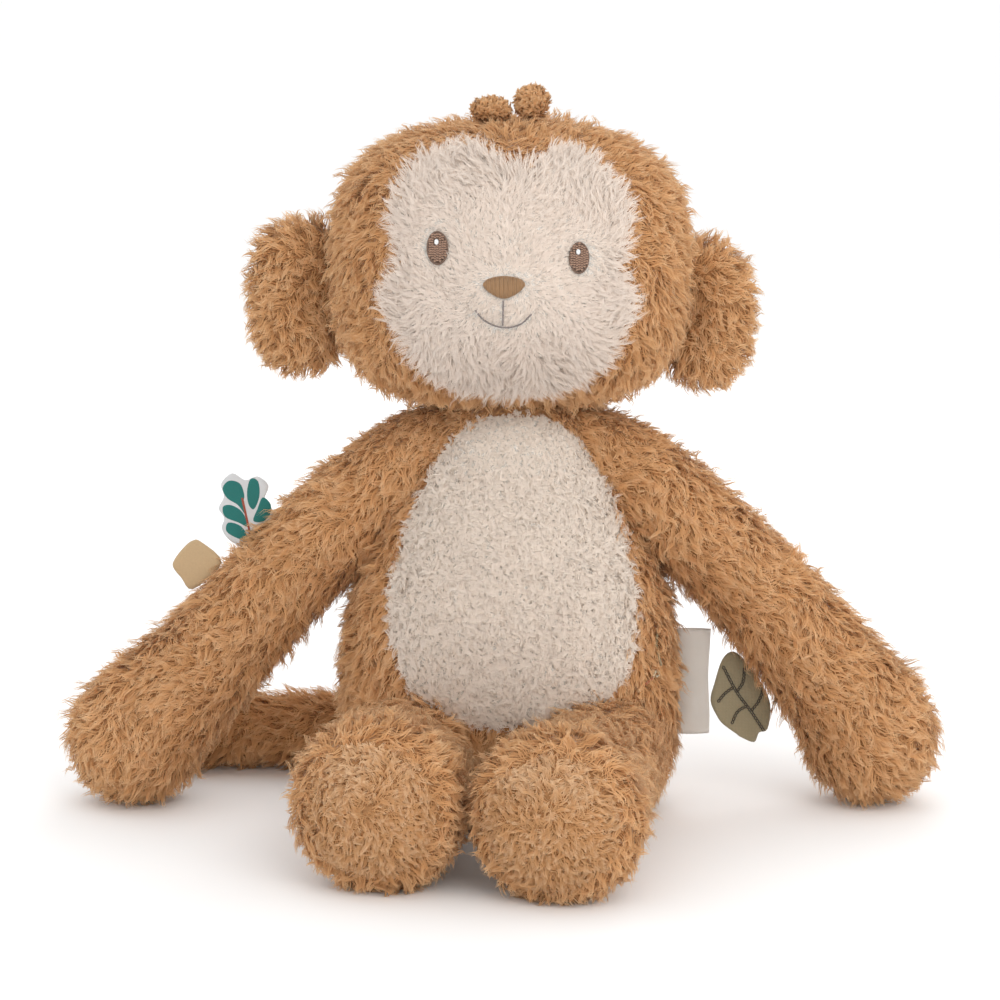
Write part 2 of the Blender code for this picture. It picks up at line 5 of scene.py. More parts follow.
import bpy
import numpy as np
from bpy.props import FloatProperty, FloatVectorProperty, IntProperty, PointerProperty
from mathutils import Matrix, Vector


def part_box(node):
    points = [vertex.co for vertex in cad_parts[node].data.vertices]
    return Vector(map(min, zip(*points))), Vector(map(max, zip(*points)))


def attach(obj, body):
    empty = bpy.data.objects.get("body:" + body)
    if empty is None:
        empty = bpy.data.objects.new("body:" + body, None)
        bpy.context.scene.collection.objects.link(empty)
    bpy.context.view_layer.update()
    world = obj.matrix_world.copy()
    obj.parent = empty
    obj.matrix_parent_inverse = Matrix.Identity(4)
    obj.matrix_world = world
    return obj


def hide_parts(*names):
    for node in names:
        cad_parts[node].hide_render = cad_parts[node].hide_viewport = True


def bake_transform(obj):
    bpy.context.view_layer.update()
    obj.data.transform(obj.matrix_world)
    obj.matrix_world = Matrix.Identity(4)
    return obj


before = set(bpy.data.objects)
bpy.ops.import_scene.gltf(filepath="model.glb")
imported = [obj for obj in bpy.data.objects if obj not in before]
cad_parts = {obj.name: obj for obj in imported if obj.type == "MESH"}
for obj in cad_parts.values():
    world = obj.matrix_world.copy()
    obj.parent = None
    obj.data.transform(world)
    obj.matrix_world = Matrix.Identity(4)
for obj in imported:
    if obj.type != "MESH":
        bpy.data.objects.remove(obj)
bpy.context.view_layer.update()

bl_info = {
    "name": "Plush Monkey",
    "version": (1, 0, 0),
    "blender": (4, 5, 0),
    "location": "3D View > Sidebar > Monkey",
    "description": "Pile cloth, stitching, tags and stage for a seated plush monkey",
    "category": "Object",
}

MM = 0.001

# Where things stop, in metres.
FLOOR_CLEARANCE = 0.0004  # the lowest that a fibre reaches
SKIN_REST = 0.0022  # the lowest that a backing reaches
PILE_REST = 0.0023  # no fibre is rooted below this
FACE_FRONT = 0.012  # the face starts this far before the head's centre
BELLY_FRONT = 0.008  # the belly starts this far before the body's centre
NECK_HEIGHT, NECK_REACH = 0.176, 0.030  # the part of the head's underside that sits in the neck
SOLE_REACH = 0.0245  # how far the sole's pile goes from its middle

# Sizes in millimetres, repeated from the sewing pattern that the solids were made to.
BODY_HALF_WIDTH, BODY_HALF_DEPTH = 72.5, 56.5
BODY_PROFILE = [
    (0.0, 0.69, 0.71), (3.0, 0.83, 0.85), (11.0, 0.924, 0.93), (26.0, 0.98, 0.982), (46.0, 1.0, 1.0),
    (68.0, 0.993, 0.991), (90.0, 0.945, 0.938), (110.0, 0.855, 0.86), (128.0, 0.745, 0.78),
    (142.0, 0.648, 0.717), (152.0, 0.559, 0.655), (168.0, 0.44, 0.55), (182.0, 0.28, 0.36),
    (190.0, 0.09, 0.11),
]
BELLY_OUTLINE = [
    (0.03, 172.0), (0.30, 166.0), (0.50, 148.0), (0.635, 120.0), (0.705, 92.0), (0.62, 64.0),
    (0.33, 50.5), (-0.015, 48.0), (-0.33, 51.0), (-0.595, 65.0), (-0.675, 92.0), (-0.595, 120.0),
    (-0.44, 148.0), (-0.25, 166.0),
]
HEAD_CENTRE = np.array([0.0, -2.0, 232.0])
HEAD_RADII = np.array([75.0, 63.0, 60.0])
FACE_OUTLINE = [
    (3.0, 47.0), (14.0, 52.0), (26.0, 52.0), (40.0, 44.0), (51.0, 25.0), (48.0, 2.5), (53.0, -13.0),
    (44.0, -31.0), (24.0, -43.0), (-2.0, -47.0), (-28.0, -41.5), (-47.0, -27.0), (-55.0, -11.0),
    (-49.0, 6.0), (-51.5, 26.0), (-41.0, 45.0), (-24.0, 53.5), (-8.0, 53.0),
]
EYE_RADII = (4.1, 6.4)
EYES = {"left_eye": (-28.9, 11.4, 1.0), "right_eye": (27.0, 7.6, 0.94)}  # across, up, share of EYE_RADII
GLINT_LIFT = 2.4
NOSE_OUTLINE = [
    (-10.9, -2.2), (-9.4, -0.3), (-6.0, 0.8), (-2.6, 1.1), (0.9, 0.8), (4.2, -0.2), (5.7, -2.1), (4.3, -4.5),
    (1.4, -6.7), (-2.6, -8.0), (-6.6, -6.8), (-9.5, -4.7),
]
PHILTRUM_LINE = [(-2.9, -8.4), (-3.0, -12.5), (-3.1, -18.4)]
SMILE_LINE = [(-14.0, -12.4), (-9.8, -16.8), (-3.0, -19.2), (3.6, -18.0), (8.4, -13.6)]
HAIR_LOOPS = {
    "hair_loop_low": ((-7.8, -5.0, 296.2), (8.6, 5.4, 5.2)),
    "hair_loop_tall": ((8.8, -5.0, 299.0), (7.4, 5.4, 7.2)),
}
EARS = {
    "left": ((-87.0, 5.0, 218.0), (21.0, 10.0, 31.5)),
    "right": ((81.0, 5.0, 210.5), (20.0, 10.0, 30.5)),
}
ARMS = {
    "left": [
        (-48.0, 2.0, 143.0, 23.0), (-75.0, 3.0, 119.0, 23.0), (-104.0, 4.0, 90.0, 23.0),
        (-131.0, 5.0, 59.0, 26.0), (-151.0, 5.0, 36.0, 29.0), (-156.0, 5.0, 30.3, 30.0),
    ],
    "right": [
        (50.0, 2.0, 143.0, 23.0), (76.0, 3.0, 121.0, 23.0), (104.0, 4.0, 94.0, 23.0),
        (129.0, 5.0, 64.0, 26.0), (147.0, 5.0, 38.0, 29.0), (150.5, 5.0, 30.3, 30.0),
    ],
}
LEGS = {
    "left": [
        (-37.0, -36.0, 33.0, 26.0), (-42.0, -66.0, 32.0, 26.0), (-47.5, -98.0, 32.0, 31.5),
        (-51.0, -118.0, 33.3, 35.5),
    ],
    "right": [
        (38.0, -36.0, 33.0, 26.0), (31.5, -70.0, 32.0, 26.0), (22.0, -114.0, 32.0, 31.5),
        (18.0, -133.0, 33.3, 35.0),
    ],
}
SOLE_FLATNESS = 0.72
SOLE_RADIUS = 27.0
TAIL = [
    (-27.0, 38.0, 20.0, 15.0), (-52.0, 50.0, 19.0, 17.0), (-86.0, 60.0, 17.8, 17.0),
    (-120.0, 62.0, 16.8, 16.5), (-150.0, 58.0, 15.8, 15.5),
]
INSET = 3.4  # from the pile's tips down to the backing cloth
PANEL_LIFT = 1.3  # how far the cream panels puff up inside their seams

# Outlines and lines drawn from 0 to 1 across their CAD nodes' boxes.
LEAF_TAG = [
    (0.60, -0.02), (0.98, 0.22), (1.0, 0.48), (0.85, 0.62), (0.93, 0.82), (0.72, 0.95), (0.50, 0.90), (0.26, 1.0),
    (0.05, 0.86), (0.10, 0.68), (0.0, 0.52), (0.10, 0.38), (0.05, 0.24), (0.18, 0.08), (0.42, -0.02),
]
LEAF_PODS = [
    [(0.52, 0.40), (0.36, 0.56), (0.16, 0.66), (0.08, 0.80), (0.20, 0.90), (0.40, 0.86), (0.48, 0.70), (0.46, 0.58)],
    [(0.56, 0.56), (0.53, 0.74), (0.60, 0.92), (0.74, 0.88), (0.76, 0.68), (0.66, 0.50)],
    [(0.64, 0.34), (0.72, 0.50), (0.82, 0.66), (0.97, 0.56), (0.94, 0.40), (0.80, 0.32)],
    [(0.54, 0.26), (0.36, 0.32), (0.12, 0.40), (0.08, 0.54), (0.24, 0.56), (0.44, 0.46)],
    [(0.62, 0.12), (0.76, 0.24), (0.94, 0.34), (0.96, 0.20), (0.80, 0.08)],
    [(0.54, 0.08), (0.34, 0.10), (0.14, 0.20), (0.18, 0.32), (0.42, 0.26)],
]
LEAF_STEM = [(0.44, 0.66), (0.50, 0.44), (0.56, 0.22), (0.60, 0.02)]
RIBBON_TAB = [
    (0.58, 0.98), (0.40, 1.0), (0.22, 0.86), (0.03, 0.62), (0.0, 0.46), (0.16, 0.24), (0.40, 0.0), (1.0, 0.55),
]
SAGE_LEAF = [
    (0.20, 0.92), (0.38, 1.0), (0.62, 0.86), (0.86, 0.62), (1.0, 0.40), (0.96, 0.14), (0.82, 0.10), (0.74, 0.0),
    (0.52, 0.06), (0.44, 0.10), (0.24, 0.20), (0.14, 0.28), (0.02, 0.46), (0.08, 0.66),
]
SAGE_VEINS = [
    [(0.90, 0.12), (0.68, 0.34), (0.44, 0.56), (0.20, 0.86)], [(0.68, 0.34), (0.80, 0.44), (0.88, 0.58)],
    [(0.62, 0.40), (0.46, 0.34), (0.36, 0.20)], [(0.44, 0.56), (0.54, 0.66), (0.56, 0.82)],
    [(0.38, 0.61), (0.24, 0.54), (0.12, 0.44)],
]
TWIG = {
    "twig_stem": ("sage_thread", [(0.2, 1.0), (0.0, 0.55), (0.9, 0.0)]),
    "twig_branch": ("rust_thread", [(1.0, 1.0), (0.5, 0.4), (0.0, 0.0)]),
    "twig_berry": ("pale_thread", [(0.1, 0.2), (0.5, 0.9), (0.9, 0.3), (0.4, 0.1)]),
}

SIGNS = {"left": -1, "right": 1}
HEAD_POWER = 2.3  # how boxy the head is, over 2 for an ellipse
RIBBON_STEPS = np.array([0.0, 0.26, 0.52, 0.78, 1.0])  # where a fibre's points stand along it
EVEN_PARTS = (0.7548776662, 0.5698402910)  # steps that fill a square evenly
MOST_FIBRES = 28000  # in one mesh
TONES = 32  # columns of the pile's map, one tone in each
LAMPS = {
    "key_softbox": ((0.72, -1.40, 0.95), 1.2, 10.0, (1.0, 0.985, 0.96)),
    "fill_softbox": ((-0.75, -1.35, 0.45), 1.2, 1.0, (0.98, 0.99, 1.0)),
    "back_softbox": ((0.3, 1.2, 1.1), 1.0, 5.0, (1.0, 1.0, 1.0)),
}  # place, size, power and colour
LAMP_TARGET, CAMERA_TARGET = (0.0, 0.0, 0.13), (-0.0042, 0.0, 0.132)


# ---------------------------------------------------------------- settings

def length_setting(name, description, default):
    return FloatProperty(name=name, description=description, default=default, subtype="DISTANCE")


def colour_setting(name, description, default):
    return FloatVectorProperty(name=name, description=description, default=default, subtype="COLOR")


def strands_setting(default):
    return IntProperty(name="Strands", description="Fibres drawn in each lock", default=default, min=2, max=12)


class FawnPileSettings(bpy.types.PropertyGroup):
    """The long wavy pile of the body, head, ears, limbs and tail."""
    length: length_setting("Length", "Length of a pile fibre", 0.0098)
    spacing: length_setting("Lock spacing", "Distance between locks", 0.0027)
    strands: strands_setting(9)
    width: length_setting("Width", "Width of a drawn fibre", 0.00042)
    root: colour_setting("Root colour", "Colour deep in the pile", (0.60, 0.30, 0.125))
    middle: colour_setting("Middle colour", "Main colour of the pile", (0.70, 0.385, 0.17))
    tip: colour_setting("Tip colour", "Colour of the pile's ends", (0.96, 0.72, 0.46))


class SolePileSettings(bpy.types.PropertyGroup):
    """The shorter, denser pile of the soles."""
    length: length_setting("Length", "Length of a sole fibre", 0.0056)
    spacing: length_setting("Lock spacing", "Distance between locks", 0.0019)
    strands: strands_setting(8)
    width: length_setting("Width", "Width of a drawn fibre", 0.00038)
    root: colour_setting("Root colour", "Colour deep in the pile", (0.64, 0.34, 0.145))
    middle: colour_setting("Middle colour", "Main colour of the pile", (0.66, 0.365, 0.165))
    tip: colour_setting("Tip colour", "Colour of the pile's ends", (0.97, 0.77, 0.54))


class FacePileSettings(bpy.types.PropertyGroup):
    """The fine straight cream pile of the face."""
    length: length_setting("Length", "Length of a face fibre", 0.0080)
    spacing: length_setting("Lock spacing", "Distance between locks", 0.00112)
    strands: strands_setting(6)
    width: length_setting("Width", "Width of a drawn fibre", 0.00027)
    root: colour_setting("Root colour", "Colour deep in the pile", (0.94, 0.82, 0.725))
    middle: colour_setting("Middle colour", "Main colour of the pile", (0.955, 0.845, 0.755))
    tip: colour_setting("Tip colour", "Colour of the pile's ends", (0.975, 0.895, 0.825))


class BellyPileSettings(bpy.types.PropertyGroup):
    """The short curly cream pile of the belly."""
    length: length_setting("Length", "Length of a belly fibre", 0.0056)
    spacing: length_setting("Lock spacing", "Distance between curls", 0.00125)
    strands: strands_setting(6)
    width: length_setting("Width", "Width of a drawn fibre", 0.00034)
    root: colour_setting("Root colour", "Colour deep in the pile", (0.96, 0.84, 0.735))
    middle: colour_setting("Middle colour", "Main colour of the pile", (0.97, 0.865, 0.77))
    tip: colour_setting("Tip colour", "Colour of the pile's ends", (0.985, 0.905, 0.825))


class ThreadSettings(bpy.types.PropertyGroup):
    """Colours of the embroidery threads and tag cloths."""
    eye: colour_setting("Eye thread", "Grey-brown thread of the eyes", (0.37, 0.225, 0.155))
    glint: colour_setting("Glint thread", "White thread of the eye glints", (0.86, 0.86, 0.88))
    nose: colour_setting("Nose thread", "Tan thread of the nose", (0.31, 0.175, 0.082))
    mouth: colour_setting("Mouth thread", "Grey thread of the mouth", (0.19, 0.16, 0.15))
    leaf_print: colour_setting("Leaf print", "Teal of the printed leaves", (0.016, 0.19, 0.17))
    stem_print: colour_setting("Stem print", "Rust of the printed stem", (0.40, 0.085, 0.045))
    ribbon: colour_setting("Ribbon", "Beige of the ribbon tab", (0.476, 0.338, 0.195))
    sage: colour_setting("Sage cloth", "Sage of the leaf tag", (0.30, 0.25, 0.155))
    label: colour_setting("Label", "Off-white of the woven label", (1.0, 0.955, 0.895))


class StageSettings(bpy.types.PropertyGroup):
    """Floor, lens and camera place."""
    lens: FloatProperty(name="Lens", description="Focal length in millimetres", default=107.0, unit="CAMERA")
    distance: length_setting("Camera distance", "From the toy's middle", 1.25)
    height_angle: FloatProperty(
        name="Camera height", description="Angle above the floor", default=math.radians(10.0), subtype="ANGLE")
    floor: colour_setting("Floor", "Colour of the floor", (0.97, 0.97, 0.97))


# ---------------------------------------------------------------- shader expressions

class Value:
    """A shader socket that takes part in Python expressions."""

    def __init__(self, tree, socket):
        self.tree, self.socket = tree, socket

    def maths(self, operation, first, second):
        node = self.tree.nodes.new("ShaderNodeMath")
        node.operation = operation
        for socket, part in zip(node.inputs, (first, second)):
            if isinstance(part, Value):
                self.tree.links.new(part.socket, socket)
            else:
                socket.default_value = part
        return Value(self.tree, node.outputs[0])

    def __add__(self, other):
        return self.maths("ADD", self, other)

    def __sub__(self, other):
        return self.maths("SUBTRACT", self, other)

    def __rsub__(self, other):
        return self.maths("SUBTRACT", other, self)

    def __mul__(self, other):
        return self.maths("MULTIPLY", self, other)

    def __pow__(self, other):
        return self.maths("POWER", self, other)

    __radd__, __rmul__ = __add__, __mul__


class Finish:
    """A procedural material round one Principled shader, whose plain numbers are set on its own sockets."""

    def __init__(self, name, **plain):
        self.material = bpy.data.materials.new(name)
        self.material.use_nodes = True
        self.tree = self.material.node_tree
        self.shader = self.tree.nodes["Principled BSDF"]
        for socket, value in plain.items():
            self.shader.inputs[socket.replace("_", " ")].default_value = value

    def node(self, kind, settings=None, values=None, out=0):
        made = self.tree.nodes.new(kind)
        for name, value in (settings or {}).items():
            if name == "stops":
                while len(made.color_ramp.elements) < len(value):
                    made.color_ramp.elements.new(0.5)
                for element, (place, colour) in zip(made.color_ramp.elements, value):
                    element.position = place
                    element.color = (*colour, 1.0)
            else:
                setattr(made, name, value)
        for name, value in (values or {}).items():
            self.feed(made.inputs[name], value)
        return Value(self.tree, made.outputs[out])

    def feed(self, socket, value):
        if isinstance(value, Value):
            self.tree.links.new(value.socket, socket)
        else:
            socket.default_value = value

    def mix(self, factor, first, second):
        first, second = [c if isinstance(c, Value) else (*c, 1.0) for c in (first, second)]
        return self.node("ShaderNodeMix", {"data_type": "RGBA"}, {0: factor, 6: first, 7: second}, out=2)

    def ramp(self, factor, stops):
        return self.node("ShaderNodeValToRGB", {"stops": stops}, {"Fac": factor})

    def place(self, kind="Object"):
        return self.node("ShaderNodeTexCoord", out={"Object": 3, "UV": 2}[kind])

    def noise(self, scale, detail=2.0, roughness=0.5, place=None):
        values = {"Vector": place or self.place(), "Scale": scale, "Detail": detail, "Roughness": roughness}
        return self.node("ShaderNodeTexNoise", {}, values)

    def bump(self, height, depth):
        return self.node("ShaderNodeBump", {}, {"Height": height, "Distance": depth, "Strength": 1.0})

    def split(self, vector):
        """The X and the Y of a vector."""
        across = self.node("ShaderNodeSeparateXYZ", {}, {"Vector": vector})
        return across, Value(self.tree, across.socket.node.outputs[1])

    def surface(self, **sockets):
        for name, value in sockets.items():
            self.feed(self.shader.inputs[name.replace("_", " ")], value)
        return self.material

    def let_light_through(self, colour, share):
        """Thin fibres also pass on some of the light that falls on their far side."""
        glow = self.node("ShaderNodeBsdfTranslucent", {}, {"Color": (*colour, 1.0)})
        mixed = self.node("ShaderNodeMixShader", {}, {0: share, 1: Value(self.tree, self.shader.outputs[0]), 2: glow})
        self.feed(self.tree.nodes["Material Output"].inputs["Surface"], mixed)


def shade(colour, amount):
    return tuple(min(1.0, part * amount) for part in colour)


def pile_finish(name, pile, sheen):
    """Fibres: the colour runs from root to tip along V, and U picks the tone of each fibre."""
    finish = Finish(
        name, Roughness=0.88, Sheen_Weight=sheen, Sheen_Roughness=0.45, Sheen_Tint=(*shade(pile.tip, 1.05), 1.0),
        Specular_IOR_Level=0.22)
    tone, along = finish.split(finish.node("ShaderNodeUVMap", {"uv_map": "OFBake"}))
    # Darker towards the root: partly the pile's own deeper colour, partly painted shade deep in the pile, darkest at
    # the very root.
    length = finish.ramp(along, [
        (0.0, shade(pile.root, 0.85)), (0.32, pile.root), (0.66, pile.middle), (0.90, pile.tip),
        (1.0, shade(pile.tip, 1.12))])
    flecks = finish.noise(60.0, 3.0, 0.6, finish.place("UV"))
    warm = finish.mix(tone ** 1.8, shade(pile.middle, 0.78), shade(pile.tip, 1.06))
    colour = finish.mix(0.38, length, warm)
    colour = finish.mix(flecks * 0.35, colour, shade(pile.middle, 1.05))
    finish.let_light_through(pile.tip, 0.36)
    return finish.surface(Base_Color=colour, Roughness=0.94 - along * 0.16)


def backing_finish(name, colour):
    """Dense cut pile seen between the locks, with painted shade in the gaps between its tufts."""
    finish = Finish(name, Roughness=0.95, Sheen_Weight=0.2, Specular_IOR_Level=0.15)
    tufts = finish.node(
        "ShaderNodeTexVoronoi", {"feature": "SMOOTH_F1"}, {"Vector": finish.place(), "Scale": 620.0, "Smoothness": 0.4})
    cloud = finish.noise(90.0, 4.0, 0.6)
    # Lightest in each tuft's middle and darker towards the gaps between tufts: painted shade.
    base = finish.ramp(tufts, [(0.0, shade(colour, 0.95)), (0.45, shade(colour, 0.7)), (1.0, shade(colour, 0.4))])
    colour = finish.mix(cloud, base, shade(colour, 0.62))
    return finish.surface(
        Base_Color=colour, Roughness=0.9 + tufts * 0.08, Normal=finish.bump(1.0 - tufts, 0.0011))


def thread_finish(name, colour, direction="DIAGONAL"):
    """Mercerised embroidery thread: fine twisted plies with a soft shine."""
    finish = Finish(name, Roughness=0.46, Sheen_Weight=0.3, Sheen_Roughness=0.3, Specular_IOR_Level=0.45)
    place = finish.place()
    plies = finish.node(
        "ShaderNodeTexWave", {"wave_type": "BANDS", "bands_direction": direction},
        {"Vector": place, "Scale": 2600.0 / 6.0, "Distortion": 1.2, "Detail": 2.0})
    worn = finish.noise(500.0, 3.0, 0.6, place)
    colour = finish.mix(plies * 0.5 + worn * 0.5, shade(colour, 0.72), shade(colour, 1.32))
    return finish.surface(Base_Color=colour, Roughness=0.46 + worn * 0.25, Normal=finish.bump(plies, 0.00012))


def cloth_finish(name, colour, threads, nap=0.0, through=0.0):
    """Plain weave or felt: two crossed sets of threads, with faint wear."""
    finish = Finish(name, Roughness=0.9, Sheen_Weight=0.35, Sheen_Roughness=0.5, Specular_IOR_Level=0.2)
    place = finish.place()
    weave = []
    for direction in ("X", "Z"):
        weave.append(finish.node(
            "ShaderNodeTexWave", {"wave_type": "BANDS", "bands_direction": direction},
            {"Vector": place, "Scale": threads / 3.0, "Distortion": 0.6 + 3.0 * nap, "Detail": 2.0}))
    fibres = finish.noise(900.0, 5.0, 0.7, place)
    cloud = finish.noise(120.0, 3.0, 0.6, place)
    height = (weave[0] * weave[1]) * (1.0 - nap) + fibres * (0.35 + nap)
    tone = finish.mix(height * 0.55 + cloud * 0.35, shade(colour, 0.80), shade(colour, 1.15))
    if through:
        finish.let_light_through(colour, through)
    return finish.surface(Base_Color=tone, Roughness=0.82 + fibres * 0.16, Normal=finish.bump(height, 0.00022))


FINISHES = {}


def finishes():
    """Every finish of the toy, made once from the settings."""
    if not FINISHES:
        toy = bpy.context.scene.plush_monkey
        threads = toy.threads
        FINISHES.update(
            fawn=pile_finish("fawn_pile_fibres", toy.fawn, 0.45),
            sole=pile_finish("sole_pile_fibres", toy.sole, 0.45),
            face=pile_finish("face_pile_fibres", toy.face, 0.35),
            belly=pile_finish("belly_pile_fibres", toy.belly, 0.3),
            fawn_backing=backing_finish("fawn_backing", shade(toy.fawn.root, 0.95)),
            cream_backing=backing_finish("cream_backing", shade(toy.face.tip, 1.05)),
            eye=thread_finish("eye_thread_stitches", threads.eye),
            # Dark border thread, also used for the eye pads as painted shade between the chain stitches.
            eye_edge=thread_finish("eye_edge_stitches", shade(threads.eye, 0.42)),
            glint=thread_finish("glint_thread_stitches", threads.glint),
            nose=thread_finish("nose_thread_stitches", threads.nose, direction="X"),
            mouth=thread_finish("mouth_thread_stitches", threads.mouth),
            leaf_cloth=cloth_finish("leaf_tag_cloth", (0.74, 0.75, 0.76), 2300.0),
            leaf_print=cloth_finish("leaf_tag_print", threads.leaf_print, 2300.0),
            stem_print=cloth_finish("leaf_tag_stem", threads.stem_print, 2300.0),
            ribbon=cloth_finish("ribbon_felt", threads.ribbon, 1500.0, 0.7),
            sage=cloth_finish("sage_cotton", threads.sage, 1500.0, 0.2),
            vein=thread_finish("vein_stitches", (0.035, 0.026, 0.018)),
            label=cloth_finish("label_satin_tape", threads.label, 2600.0, through=0.5),
            sage_thread=thread_finish("sage_stitches", (0.30, 0.25, 0.15)),
            pale_thread=thread_finish("pale_knot_stitches", (0.62, 0.58, 0.44)),
            rust_thread=thread_finish("rust_stitches", (0.36, 0.12, 0.05)),
        )
    return FINISHES


# ---------------------------------------------------------------- skins drawn as rings

def unit(vectors):
    return vectors / np.maximum(np.linalg.norm(vectors, axis=-1, keepdims=True), 1e-12)


def full_turn(count):
    return np.linspace(0, 2 * math.pi, count, endpoint=False)


def oval(centre, radii, turns):
    return centre + np.stack([radii[0] * np.cos(turns), radii[1] * np.sin(turns)], -1)


def smooth_line(points, steps, closed=False):
    """Catmull-Rom through the points, in as many dimensions as they have."""
    points = np.asarray(points, float)
    if closed:
        padded = np.vstack([points[-1], points, points[:2]])
    else:
        padded = np.vstack([2 * points[0] - points[1], points, 2 * points[-1] - points[-2]])
    out = []
    for i in range(len(padded) - 3):
        before, start, end, after = padded[i:i + 4]
        for t in np.arange(steps) / steps:
            out.append(0.5 * (
                2 * start + (end - before) * t + (2 * before - 5 * start + 4 * end - after) * t ** 2
                + (3 * start - before - 3 * end + after) * t ** 3))
    if not closed:
        out.append(points[-1])
    return np.array(out)


def inside(points, outline):
    """Which points, in two dimensions, lie in the closed outline."""
    x, y = points[:, 0], points[:, 1]
    found = np.zeros(len(points), bool)
    for (ax, ay), (bx, by) in zip(outline, np.roll(outline, -1, 0)):
        crosses = (ay > y) != (by > y)
        found ^= crosses & (x < (bx - ax) * (y - ay) / (by - ay + 1e-12) + ax)
    return found


def distance_to(points, line, closed=False):
    """Least distance from each point to a line of short spans, in two dimensions."""
    ends = np.roll(line, -1, 0) if closed else line[1:]
    least = np.full(len(points), 1e9)
    for a, b in zip(line, ends):
        span = b - a
        t = np.clip((points - a) @ span / max(span @ span, 1e-12), 0, 1)
        least = np.minimum(least, np.linalg.norm(points - a - t[:, None] * span, axis=1))
    return least


def ring_faces(rings, around, first=0):
    """Quads between neighbouring rings of points, which are numbered in order from first."""
    starts = [(first + ring * around + i, first + ring * around + (i + 1) % around)
              for ring in range(rings - 1) for i in range(around)]
    return [(a, b, b + around, a + around) for a, b in starts]


class Skin:
    """A closed skin held as rings of points, in metres.  Its first and last rings are poles."""

    def __init__(self, rings, floor=True):
        rings = np.asarray(rings, float) * MM
        if floor:
            rings[..., 2] = np.maximum(rings[..., 2], SKIN_REST)
        self.rings = rings
        along = np.gradient(rings, axis=0)
        across = np.roll(rings, -1, 1) - np.roll(rings, 1, 1)
        normals = np.cross(across, along)
        normals[0], normals[-1] = normals[1].mean(0), normals[-2].mean(0)
        normals = unit(normals)
        self.outward = (normals * (rings - rings.mean((0, 1)))).sum() > 0
        self.normals = normals if self.outward else -normals

    def puffed(self, outline, drawn, front):
        """The same skin with the part inside an outline, drawn in x and z, raised a little on its front."""
        flat = self.rings.reshape(-1, 3)
        spots = drawn(flat)
        rise = np.clip(distance_to(spots, outline, True) / 6.0, 0, 1) * inside(spots, outline) * (flat[:, 1] < front)
        lifted = flat + self.normals.reshape(-1, 3) * rise[:, None] * PANEL_LIFT * MM
        return Skin(lifted.reshape(self.rings.shape) / MM, floor=False)

    def mesh(self, name, pick=None):
        """The skin as a mesh.  pick chooses each face's material from its middle."""
        count, around = self.rings.shape[:2]
        points = np.vstack([self.rings[0, :1], self.rings[1:-1].reshape(-1, 3), self.rings[-1, :1]])
        last = len(points) - 1
        pairs = [(i, (i + 1) % around) for i in range(around)]
        faces = ring_faces(count - 2, around, 1)
        faces += [(0, 1 + b, 1 + a) for a, b in pairs]
        faces += [(last, last - around + a, last - around + b) for a, b in pairs]
        if not self.outward:
            faces = [face[::-1] for face in faces]
        mesh = smooth_mesh(name, points, faces)
        if pick:
            middles = np.array([points[list(face)].mean(0) for face in faces])
            mesh.polygons.foreach_set("material_index", pick(middles).astype(np.int32))
        return mesh

    def scatter(self, spacing, seed, keep=None):
        """Evenly scattered roots where keep says so: their places, outward normals and directions along the skin."""
        rng = np.random.default_rng(seed)
        a, b = self.rings[:-1], self.rings[1:]
        c, d = np.roll(b, -1, 1), np.roll(a, -1, 1)
        area = 0.5 * np.linalg.norm(np.cross(c - a, d - b), axis=-1)
        share = np.cumsum(area.ravel()) / area.sum()
        count = int(area.sum() / spacing ** 2)
        order = (np.arange(count) + rng.random(count)) / count
        cell = np.minimum(np.searchsorted(share, order), area.size - 1)
        row, col = np.divmod(cell, area.shape[1])
        after = (col + 1) % area.shape[1]
        u, v = (((0.5 + np.arange(count) * part) % 1)[:, None] for part in EVEN_PARTS)

        def blend(grid):
            low = grid[row, col] * (1 - v) + grid[row, after] * v
            high = grid[row + 1, col] * (1 - v) + grid[row + 1, after] * v
            return low * (1 - u) + high * u

        along = unit(self.rings[row + 1, col] - self.rings[row, col] + 1e-9)
        roots = blend(self.rings)
        chosen = keep(roots) if keep else slice(None)
        return roots[chosen], unit(blend(self.normals))[chosen], along[chosen]


def tube(line, inset, side, around=44, cap=9):
    """Rings round a line of (x, y, z, radius) with a rounded end at each end."""
    line = smooth_line(line, 7)
    centres, radii = line[:, :3], line[:, 3] - inset
    tangents = unit(np.gradient(centres, axis=0))
    turns = full_turn(around)
    rings = []

    def ring(centre, tangent, radius):
        first = unit(side - tangent * (tangent @ side))
        second = np.cross(tangent, first)
        rings.append(centre + radius * (np.outer(np.cos(turns), first) + np.outer(np.sin(turns), second)))

    bends = np.linspace(math.pi / 2, 0, cap, endpoint=False)
    for bend in bends:
        ring(centres[0] - tangents[0] * radii[0] * math.sin(bend), tangents[0], radii[0] * math.cos(bend))
    for centre, tangent, radius in zip(centres, tangents, radii):
        ring(centre, tangent, radius)
    for bend in bends[::-1]:
        ring(centres[-1] + tangents[-1] * radii[-1] * math.sin(bend), tangents[-1], radii[-1] * math.cos(bend))
    return np.array(rings)


def head_fullness(height):
    return 2.7 + 0.5 * np.clip(-height, 0, 1)


def muzzle(x, z):
    """How far the padded muzzle stands forward, in millimetres."""
    cheeks = 5.0 * np.exp(-((x / 40.0) ** 2 + ((z + 16.0) / 24.0) ** 2))
    sockets = 2.2 * sum(np.exp(-(((x - ex) / 9.0) ** 2 + ((z - ez) / 10.0) ** 2)) for ex, ez, _ in EYES.values())
    return cheeks - sockets


